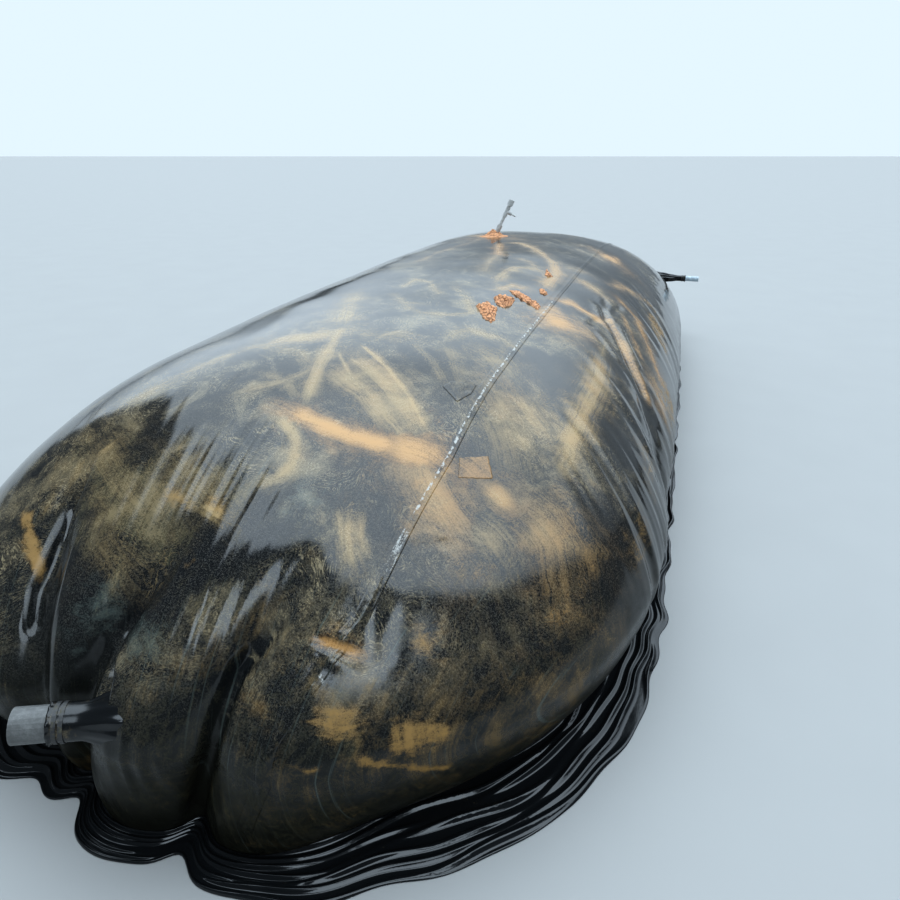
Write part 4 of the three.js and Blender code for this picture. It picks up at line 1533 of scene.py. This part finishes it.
def carry_mud(scene, made, tree, cover=None):
    """Gives a piece the mud that lies at its place on the sheet, or a cover of tan mud."""
    places = vertex_places(made)
    facing_up = np.array([tree.find_nearest(Vector(place))[1].z for place in places])
    values = mud_at(places, tree, scene.digester_stage, facing_up)
    if cover is not None:
        strength, orange_share = cover
        values["tan_mud"] = np.full(len(places), strength)
        values["orange_share"] = np.full(len(places), orange_share)
    bearing, reach = gather_place(places, -1)
    near_end = rise(places[:, 1], -4.2, -0.4) * rise(np.abs(places[:, 0] - GATHER_X), 1.7, -0.5)
    values["gather_run"] = np.column_stack([bearing * BEARING_STRETCH, reach, near_end])
    values["facing_up"] = facing_up
    for name, numbers in values.items():
        set_attribute(made, name, numbers)


# The bag's sheet


def build_bag_sheet(scene):
    """The whole closed bag, with its pleats, wrinkles and creases, and the mud that lies on it."""
    shape, surface = scene.digester_shape, scene.digester_surface
    rings, outline = bag_rings(shape, surface)
    normals = ring_normals(rings)
    points = rings + normals * sheet_displacement(rings, surface)[..., None]
    points[-1, :, 2] = 0.0
    smooth_tree = sheet_grid_tree(points)
    creased = press_creases(points.reshape(-1, 3), normals.reshape(-1, 3), smooth_tree, scene.digester_stage)
    points = creased.reshape(points.shape)
    # The first ring is the spine, where points of both sides have to stay together
    points[0] = rings[0]
    points[-1, :, 2] = 0.0
    nothing = np.zeros(len(outline))
    foot_line = np.column_stack([nothing, outline[:, 2], nothing])
    made = ring_object("bag_sheet", np.concatenate([points, foot_line[None]]))
    tree = BVHTree.FromObject(made, bpy.context.evaluated_depsgraph_get())
    carry_mud(scene, made, tree)
    material = muddy_sheet_material("muddy black sheet", scene.digester_colours)
    finish_piece(made, material, "black_sheet", *BAG_PANELS)


# The long weld


def evenly(line, spacing):
    """A line resampled to even steps, and how far along it each of its points is."""
    steps = np.linalg.norm(np.diff(line, axis=0), axis=1)
    walked = np.concatenate([[0.0], np.cumsum(steps)])
    places = np.linspace(0.0, walked[-1], int(walked[-1] / spacing) + 1)
    return np.column_stack([np.interp(places, walked, line[:, i]) for i in range(3)]), places


def weld_x(y):
    """The x of the weld's plan path at a given y."""
    xs, ys = np.array(WELD_PATH[::-1]).T
    return float(np.interp(y, ys, xs))


def weld_line(tree, shoulder_height):
    """The weld's middle line: up the far wall, over the top and down the near wall."""
    far_wall_heights = np.arange(0.02, 0.62, WELD_RAY_STEP)
    near_wall_heights = np.arange(0.60, 0.01, -WELD_RAY_STEP)
    far_x, near_x = weld_x(5.4), 0.76
    line = []
    for height in far_wall_heights:
        line.append(tree.ray_cast(Vector((far_x, BEYOND_ENDS, height)), Vector((0, -1, 0)))[0])
    for y in np.arange(5.6, -5.6, -WELD_RAY_STEP):
        place = tree.ray_cast(Vector((weld_x(y), y, ABOVE_ALL)), DOWN)[0]
        if place is not None and place.z > TOP_BEGINS:
            line.append(place)
    for height in near_wall_heights:
        drift = WELD_DRIFT * np.clip(shoulder_height - height, 0.0, WELD_DRIFT_ENDS)
        line.append(tree.ray_cast(Vector((near_x - drift, -BEYOND_ENDS, height)), Vector((0, 1, 0)))[0])
    return np.array([tuple(p) for p in line if p is not None])


def frames_on_sheet(tree, line):
    """For each point of a line, the sheet's smoothed normal and the direction across the line."""
    tangent = np.gradient(line, axis=0)
    tangent /= np.linalg.norm(tangent, axis=1)[:, None]
    normals = np.array([tuple(tree.find_nearest(Vector(p))[1]) for p in line])
    kernel = np.ones(SMOOTHED_POINTS) / SMOOTHED_POINTS
    for i in range(3):
        padded = np.pad(normals[:, i], SMOOTHED_POINTS // 2, mode="edge")
        normals[:, i] = np.convolve(padded, kernel, "valid")
    normals -= tangent * (normals * tangent).sum(axis=1)[:, None]
    normals /= np.linalg.norm(normals, axis=1)[:, None]
    return normals, np.cross(tangent, normals)


def onto_sheet(tree, place, normal):
    """The place on the sheet straight under a place beside the weld's line."""
    start = Vector(place + normal * 0.08)
    hit = tree.ray_cast(start, Vector(-normal), 0.3)[0]
    return np.array(hit) if hit is not None else place


def place_by_line(points, line, places, across):
    """How far to one side of a finely sampled line points are, and how far along it."""
    nearest = np.zeros(len(points), int)
    for start in range(0, len(points), POINTS_AT_ONCE):
        part = points[start : start + POINTS_AT_ONCE]
        gaps = ((part[:, None, :] - line[None, :, :]) ** 2).sum(axis=2)
        nearest[start : start + POINTS_AT_ONCE] = gaps.argmin(axis=1)
    gap = points - line[nearest]
    return (gap * across[nearest]).sum(axis=1), places[nearest]


def weld_rings(tree, line, places, normals, across):
    """Rings of points round the weld's strip, one at each point of its line."""
    offsets = np.array([offset for offset, _ in WELD_PROFILE])
    heights = np.array([height for _, height in WELD_PROFILE])
    bead = BEAD_HEIGHT * np.exp(-((offsets / BEAD_HALF_WIDTH) ** 2))
    rough = waves(places, 0.045, 71)
    rings = []
    for i, place in enumerate(line):
        lift = heights + bead * max(0.0, rough[i])
        top = [
            onto_sheet(tree, place + across[i] * offset, normals[i]) + normals[i] * height
            for offset, height in zip(offsets, lift)
        ]
        under = [top[-1] - normals[i] * WELD_THICKNESS, top[0] - normals[i] * WELD_THICKNESS]
        rings.append(np.array(top + under))
    return rings


def carry_residue(scene, made, tree, line, places, across):
    """Tells the weld's strip where its residue lies."""
    points = vertex_places(made)
    aside, along = place_by_line(points, line, places, across)
    level = rise(points[:, 1], -4.62, 0.15) * (0.55 + 0.45 * rise(points[:, 1], -0.9, -0.8))
    smear = np.zeros(len(points))
    for pixels, half_width, strength in WELD_SMEARS:
        spot = line_under_pixels(tree, scene.digester_stage, pixels)
        distance = distance_to_line(points, spot)[0]
        smear = np.maximum(smear, strength * rise(distance, 1.3 * half_width, -half_width))
    set_attribute(made, "weld_place", np.column_stack([aside, along, level]))
    set_attribute(made, "weld_smear", smear)


def build_long_weld(scene):
    """The lapped weld strip with its bead of residue."""
    tree = sheet_tree()
    line, places = evenly(weld_line(tree, scene.digester_shape.shoulder_height), WELD_STEP)
    normals, across = frames_on_sheet(tree, line)
    made = ring_object("weld_strip", weld_rings(tree, line, places, normals, across), cap_ends=True)
    carry_mud(scene, made, tree)
    carry_residue(scene, made, tree, line, places, across)
    material = muddy_sheet_material("welded lap", scene.digester_colours, with_residue=True)
    finish_piece(made, material, "black_sheet", "long_weld")


# Flat pieces that lie on the sheet


def uneven_outline(corners, count, jag, seed):
    """A closed plan outline through corners, with uneven edges, and its middle."""
    corners = np.array(corners, float)
    closed = np.vstack([corners, corners[:1]])
    steps = np.linalg.norm(np.diff(closed, axis=0), axis=1)
    walked = np.concatenate([[0.0], np.cumsum(steps)])
    places = np.linspace(0.0, walked[-1], count, endpoint=False)
    outline = np.column_stack([np.interp(places, walked, closed[:, i]) for i in range(2)])
    middle = outline.mean(axis=0)
    wobble = np.random.default_rng(seed).normal(size=count)
    wobble = 0.5 * wobble + 0.25 * (np.roll(wobble, 1) + np.roll(wobble, -1))
    return middle + (outline - middle) * (1 + jag * wobble[:, None]), middle


def flat_on_sheet(name, tree, corners, rings, count, jag, seed, height_at):
    """A closed flat piece that lies on the sheet, with a height for each share of its radius."""
    outline, middle = uneven_outline(corners, count, jag, seed)
    loops = []
    for share in np.linspace(0.0, 1.0, rings + 1):
        plan = middle + (outline - middle) * share
        hits = [tree.ray_cast(Vector((x, y, ABOVE_ALL)), DOWN)[:2] for x, y in plan]
        lifts = [height_at(x, y, share) for x, y in plan]
        loops.append([np.array(p) + np.array(n) * lift for (p, n), lift in zip(hits, lifts)])
    loops[0] = [loops[0][0]] * count
    under = [np.array(p) - np.array(n) * SUNK_UNDER for p, n in hits]
    bottom = np.mean(under, axis=0)
    return ring_object(name, [*loops, under, [bottom] * count])


def flat_patch_height(thickness):
    """Height of a thin welded patch with a soft edge."""

    def height_at(_x, _y, share):
        return 0.0006 + thickness * (1.0 - rise(share, 0.88, 0.12))

    return height_at


def lumpy_height(height, seed):
    """Height of a broken crust: steep edge and an uneven top."""

    def height_at(x, y, share):
        place = np.array([[x, y, 0.0]])
        lumps = 0.5 + 0.30 * swell(place, 0.05, seed)[0] + 0.22 * swell(place, 0.022, seed + 1)[0]
        return 0.001 + height * max(0.12, lumps) * (1.0 - rise(share, 0.80, 0.20))

    return height_at


def mound_height(height, seed):
    """Height of the clay heaped round the riser's foot."""

    def height_at(x, y, share):
        place = np.array([[x, y, 0.0]])
        lumps = 1.0 + 0.22 * swell(place, 0.06, seed)[0] + 0.10 * swell(place, 0.025, seed + 1)[0]
        return 0.0006 + height * lumps * (1.0 - smooth_step(share)) ** 1.3

    return height_at


def build_patches(scene):
    """The scuffed patch and the smooth patch beside the weld."""
    tree = sheet_tree()
    material = muddy_sheet_material("welded patch", scene.digester_colours)
    for name, corners, jag, thickness, seed, cover in PATCHES:
        height_at = flat_patch_height(thickness)
        made = flat_on_sheet(f"{name}_sheet", tree, corners, PATCH_RINGS, PATCH_POINTS, jag, seed, height_at)
        carry_mud(scene, made, tree, cover)
        finish_piece(made, material, "muddy_sheet", name)


def build_crusts(scene):
    """Dried mud crusts on the top sheet and the clay heaped round the riser's foot."""
    tree, stage = sheet_tree(), scene.digester_stage
    material = crust_material(scene.digester_colours)
    for number, (pixels, height) in enumerate(CRUST_OUTLINES):
        places = [under_pixel(tree, stage, pixel) for pixel in pixels]
        corners = [(p.x, p.y) for p in places]
        height_at = lumpy_height(height, 90 + number)
        name = f"mud_crust_{number + 1}"
        made = flat_on_sheet(name, tree, corners, PATCH_RINGS, PATCH_POINTS, 0.06, 80 + number, height_at)
        finish_piece(made, material, "muddy_sheet")
    low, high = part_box("riser_base_patch")
    middle_x, middle_y = (low.x + high.x) / 2, (low.y + high.y) / 2
    radius = (high.x - low.x) / 2
    turns = np.linspace(0, 2 * math.pi, 14, endpoint=False)
    corners = [(middle_x + radius * math.cos(t), middle_y + radius * math.sin(t)) for t in turns]
    height_at = mound_height(MOUND_HEIGHT, 100)
    made = flat_on_sheet("riser_mud_mound", tree, corners, MOUND_RINGS, MOUND_POINTS, 0.05, 99, height_at)
    finish_piece(made, material, "muddy_sheet", "riser_base_patch")


# The hem


def hem_width_share(x, y):
    """How wide the hem is: 1 at the right of the near end, less elsewhere."""
    return 0.55 + 0.45 * rise(x, 0.3, 0.5) * rise(y, -3.6, -0.8)


def fold_heights(circle, share):
    """The hem's height at a share of its width: folds that run along it and wander across it."""
    height = np.zeros(len(circle))
    for fold in range(HEM_FOLDS):
        middle = 0.10 + 0.84 * fold / (HEM_FOLDS - 1) + 0.050 * swell(circle, 0.8, 111 + fold)
        size = (0.014 + 0.009 * swell(circle, 0.55, 131 + fold)).clip(0.0, 0.026)
        height = height + size * np.exp(-(((share - middle) / 0.034) ** 2))
    return HEM_LIES_AT + height * rise(share, 0.0, 0.06) * rise(share, 1.0, -0.05)


def build_hem(scene):
    """The loose welded hem that lies on the floor round the foot, in fine long folds."""
    shape = scene.digester_shape
    outline = bag_outline(shape, *HEM_COLUMNS)
    x, y = outline[:, 0], outline[:, 1]
    steps = np.linalg.norm(np.roll(outline[:, :2], -1, axis=0) - outline[:, :2], axis=1)
    length = steps.sum()
    turn = np.concatenate([[0.0], np.cumsum(steps)[:-1]]) / length * 2 * math.pi
    circle = np.column_stack([np.cos(turn), np.sin(turn), np.zeros_like(turn)]) * (length / (2 * math.pi))
    inward = relief(shape, x + shape.pleat_swing, y) * 0.85
    start = -shape.foot_inset + shape.lobe_foot_spread * lobe_share(shape, x) - 0.02
    end = HEM_REACH * hem_width_share(x, y)
    upper, lower = [], []
    for share in np.linspace(0.0, 1.0, HEM_RINGS):
        height = fold_heights(circle, share)
        out = start + (end - start) * share - inward + 0.012 * swell(circle, 0.35, 114) * share
        base = outline[:, :2] + outline[:, 3:5] * out[:, None]
        upper.append(np.column_stack([base, height]))
        lower.append(np.column_stack([base, np.maximum(height - HEM_THICKNESS, 0.0)]))
    made = ring_object("loose_hem", [*upper, *lower[::-1], upper[0]])
    colours = scene.digester_colours
    material = dark_sheet_material("loose hem sheet", colours, mud_level=-0.35, roughness=0.10)
    finish_piece(made, material, "black_sheet", "near_hem", "far_hem", "left_hem", "right_hem")


# The riser and the slurry pipes


def dress_node(name, material):
    """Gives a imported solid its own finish."""
    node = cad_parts[name]
    node.data.materials.clear()
    node.data.materials.append(material)


def dress_riser(scene):
    """Finishes of the gas riser's fittings and pipes."""
    colours = scene.digester_colours
    grey = colours.grey_pipe
    material = pipe_material("weathered grey plastic", colours, grey, RISER_MUD_HEIGHT, MUD_REACH)
    for name in RISER_NODES:
        dress_node(name, material)


def sleeve_ring(stop, sleeve_end, radius, turns, gathers):
    """The sleeve's outer and inner radii at a stop along its pipe."""
    loose = rise(stop, sleeve_end - 0.085, -0.16)
    flare = SLEEVE_FLARE * rise(stop, sleeve_end - 0.09, -(sleeve_end + 0.02))
    skirt = 0.010 * rise(stop, sleeve_end - 0.004, 0.016)
    ripple = 1 + 0.3 * np.sin(stop * 40 + turns * 2)
    tight = radius + 0.0012
    outer = tight + 0.0035 + flare + skirt * (0.3 + 0.7 * gathers)
    outer = outer + gathers * (0.0008 + 0.011 * loose) * ripple
    return outer, np.maximum(outer - 0.0025, tight - 0.0004)


def build_sleeve(name, foot, axis, radius, sleeve_end, phase, material):
    """A gathered sheet sleeve: flared where it leaves the bag and tight under its straps."""
    axis = np.array(axis) / np.linalg.norm(axis)
    side = np.cross(axis, [0.0, 0.0, 1.0])
    side /= np.linalg.norm(side)
    up = np.cross(side, axis)
    turns = np.linspace(0, 2 * math.pi, SLEEVE_POINTS, endpoint=False)
    gathers = 0.5 + 0.5 * np.sin(turns * SLEEVE_GATHERS + 0.9 * np.sin(turns * 3 + phase))
    gathers = gathers * (0.7 + 0.3 * np.sin(turns * 5 + phase))
    outer, inner = [], []
    for stop in np.linspace(-SLEEVE_INSIDE, sleeve_end + SLEEVE_SKIRT, SLEEVE_RINGS):
        for reach, rings in zip(sleeve_ring(stop, sleeve_end, radius, turns, gathers), (outer, inner)):
            ring = np.outer(np.cos(turns) * reach, side) + np.outer(np.sin(turns) * reach, up)
            rings.append(np.array(foot) + axis * stop + ring)
    made = ring_object(f"{name}_sheet", [*outer, *inner[::-1], outer[0]])
    finish_piece(made, material, "black_sheet", name)


def build_pipes(scene):
    """Finishes of the two slurry pipes, with their gathered sleeves and rubber straps."""
    colours = scene.digester_colours
    outlet_grey = shaded(colours.grey_pipe, OUTLET_SHADE)
    outlet = pipe_material("mid grey plastic", colours, outlet_grey, OUTLET_MUD_HEIGHT, MUD_REACH)
    inlet = pipe_material("pale blue grey plastic", colours, colours.pale_pipe, INLET_MUD_HEIGHT, MUD_REACH)
    sleeve_sheet = dark_sheet_material("sleeve sheet", colours, mud_level=-0.15, roughness=0.20)
    strap = strap_material(colours)
    dress_node("outlet_pipe", outlet)
    dress_node("inlet_pipe", inlet)
    for name in ("outlet_strap_1", "outlet_strap_2", "inlet_strap_1", "inlet_strap_2"):
        dress_node(name, strap)
    for name, foot, axis, radius, sleeve_end, phase in SLEEVES:
        build_sleeve(name, foot, axis, radius, sleeve_end, phase, sleeve_sheet)


# The stage


def build_floor(scene):
    """A wide plain floor."""
    corners = [(-1, -1), (1, -1), (1, 1), (-1, 1)]
    vertices = [(x * FLOOR_REACH, y * FLOOR_REACH, FLOOR_HEIGHT) for x, y in corners]
    floor = mesh_object("stage_floor", vertices, [[0, 1, 2, 3]])
    floor.data.materials.append(floor_material(scene.digester_colours))


def facing(tree, direction, middle):
    """How nearly a direction points the way that another does: 1 where it does."""
    inputs = {0: direction, 1: middle}
    return put(tree, "ShaderNodeVectorMath", inputs, operation="DOT_PRODUCT").outputs["Value"]


def cloud_shape(tree, direction, x, y, z):
    """1 where the sky is bright: a wide cap, and a straighter edge low down on the left."""
    cap_middle = (0.0, math.cos(CAP_RISE), math.sin(CAP_RISE))
    cap = between(tree, facing(tree, direction, cap_middle), 0.60, 0.632)
    lifted = times(tree, compute(tree, "MAXIMUM", compute(tree, "SUBTRACT", z, 0.5), 0.0), 0.9)
    left_part = between(tree, compute(tree, "ADD", y, lifted), 0.43, 0.47)
    leftness = between(tree, x, -0.68, -0.52, 1.0, 0.0)
    return mix(tree, leftness, cap, left_part)


def sky_pattern(tree, direction):
    """How bright the soft sky is in each direction: dark low down ahead, pale low down on the left
    and brightest overhead."""
    x, y, z = split_axes(tree, direction)
    haze = between(tree, z, 0.0, 0.24, 0.5, 1.5)
    ahead = between(tree, x, -0.62, -0.20)
    horizon = mix(tree, ahead, haze, 0.26)
    screened = times(tree, between(tree, x, 0.30, 0.45), 0.16)
    rising = between(tree, compute(tree, "SUBTRACT", z, screened), 0.13, 0.46)
    low = compute(tree, "MULTIPLY_ADD", rising, compute(tree, "SUBTRACT", 1.85, horizon), horizon)
    high = between(tree, z, 0.62, 0.86, 0.0, 1.35)
    above = between(tree, z, -0.02, 0.04)
    shape = cloud_shape(tree, direction, x, y, z)
    return times(tree, shape, above, compute(tree, "ADD", low, high))


def build_light(scene):
    """Soft light from a wide bright part of the sky, and a small one high behind the camera."""
    stage = scene.digester_stage
    world = bpy.data.worlds.new("soft studio light")
    scene.world = world
    world.use_nodes = True
    tree = world.node_tree
    background = tree.nodes["Background"]
    direction = put(tree, "ShaderNodeTexCoord", {}).outputs["Generated"]
    small_light = between(tree, facing(tree, direction, SMALL_LIGHT_DIRECTION), 0.952, 0.968)
    light_path = put(tree, "ShaderNodeLightPath", {}).outputs
    terms = [
        (sky_pattern(tree, direction), stage.sky_strength),
        (small_light, stage.side_strength),
        (light_path["Is Diffuse Ray"], stage.fill_strength),
    ]
    strength = added(tree, stage.shade_strength, *terms)
    seen = mix(tree, light_path["Is Camera Ray"], strength, BACKDROP_STRENGTH)
    plug(tree, LIGHT_COLOUR, background.inputs["Color"])
    plug(tree, seen, background.inputs["Strength"])


def place_camera(scene):
    """The camera at the photograph's viewing angle."""
    stage = scene.digester_stage
    data = bpy.data.cameras.new("camera")
    data.sensor_fit = "HORIZONTAL"
    data.sensor_width = 36.0
    data.lens = stage.focal_pixels / PHOTO_SIDE * data.sensor_width
    data.clip_end = 300.0
    camera = bpy.data.objects.new("camera", data)
    camera.location = stage.camera_place
    camera.rotation_euler = (math.pi / 2 - stage.camera_pitch, 0.0, stage.camera_heading)
    scene.collection.objects.link(camera)
    scene.camera = camera


class DIGESTER_OT_stage(Operator):
    """Set up the plain floor, the soft light and the camera"""

    bl_idname = "digester.stage"
    bl_label = "Stage"

    def execute(self, context):
        build_floor(context.scene)
        build_light(context.scene)
        place_camera(context.scene)
        context.scene.view_settings.view_transform = "Standard"
        context.scene.view_settings.look = "Medium High Contrast"
        return {"FINISHED"}


class DIGESTER_OT_bag_sheet(Operator):
    """Build the wrinkled black sheet of the bag with its dried mud"""

    bl_idname = "digester.bag_sheet"
    bl_label = "Bag sheet"

    def execute(self, context):
        build_bag_sheet(context.scene)
        return {"FINISHED"}


class DIGESTER_OT_long_weld(Operator):
    """Build the long lapped weld with its white residue"""

    bl_idname = "digester.long_weld"
    bl_label = "Long weld"

    def execute(self, context):
        build_long_weld(context.scene)
        return {"FINISHED"}


class DIGESTER_OT_patches(Operator):
    """Build the two welded patches"""

    bl_idname = "digester.patches"
    bl_label = "Patches"

    def execute(self, context):
        build_patches(context.scene)
        return {"FINISHED"}


class DIGESTER_OT_hem(Operator):
    """Build the loose folded hem round the foot"""

    bl_idname = "digester.hem"
    bl_label = "Loose hem"

    def execute(self, context):
        build_hem(context.scene)
        return {"FINISHED"}


class DIGESTER_OT_crusts(Operator):
    """Build the dried mud crusts and the clay round the riser"""

    bl_idname = "digester.crusts"
    bl_label = "Mud crusts"

    def execute(self, context):
        build_crusts(context.scene)
        return {"FINISHED"}


class DIGESTER_OT_riser(Operator):
    """Finish the gas riser"""

    bl_idname = "digester.riser"
    bl_label = "Gas riser"

    def execute(self, context):
        dress_riser(context.scene)
        return {"FINISHED"}


class DIGESTER_OT_pipes(Operator):
    """Finish the slurry pipes and build their sleeves"""

    bl_idname = "digester.pipes"
    bl_label = "Slurry pipes"

    def execute(self, context):
        build_pipes(context.scene)
        return {"FINISHED"}


OPERATORS = (
    DIGESTER_OT_stage,
    DIGESTER_OT_bag_sheet,
    DIGESTER_OT_long_weld,
    DIGESTER_OT_patches,
    DIGESTER_OT_hem,
    DIGESTER_OT_crusts,
    DIGESTER_OT_riser,
    DIGESTER_OT_pipes,
)


class DIGESTER_PT_panel(Panel):
    """The digester's pieces in the sidebar"""

    bl_label = "Biogas digester"
    bl_idname = "DIGESTER_PT_panel"
    bl_space_type = "VIEW_3D"
    bl_region_type = "UI"
    bl_category = "Digester"

    def draw(self, context):
        for operator in OPERATORS:
            self.layout.operator(operator.bl_idname)
        for group in SETTINGS:
            settings = getattr(context.scene, group)
            box = self.layout.box()
            for name in settings.__annotations__:
                box.prop(settings, name)


SETTINGS = {
    "digester_shape": BagShape,
    "digester_surface": SheetSurface,
    "digester_colours": DigesterColours,
    "digester_stage": StageSettings,
}


def register():
    """Adds the settings, the operators and the panel."""
    for settings in SETTINGS.values():
        bpy.utils.register_class(settings)
    for name, settings in SETTINGS.items():
        setattr(bpy.types.Scene, name, PointerProperty(type=settings))
    for operator in OPERATORS:
        bpy.utils.register_class(operator)
    bpy.utils.register_class(DIGESTER_PT_panel)


def unregister():
    """Takes the panel, the operators and the settings away again."""
    bpy.utils.unregister_class(DIGESTER_PT_panel)
    for operator in reversed(OPERATORS):
        bpy.utils.unregister_class(operator)
    for name, settings in SETTINGS.items():
        delattr(bpy.types.Scene, name)
        bpy.utils.unregister_class(settings)


def main():
    """Builds the stage and every piece."""
    register()
    bpy.ops.digester.stage()
    bpy.ops.digester.bag_sheet()
    bpy.ops.digester.long_weld()
    bpy.ops.digester.patches()
    bpy.ops.digester.hem()
    bpy.ops.digester.crusts()
    bpy.ops.digester.riser()
    bpy.ops.digester.pipes()


if __name__ == "__main__":
    main()
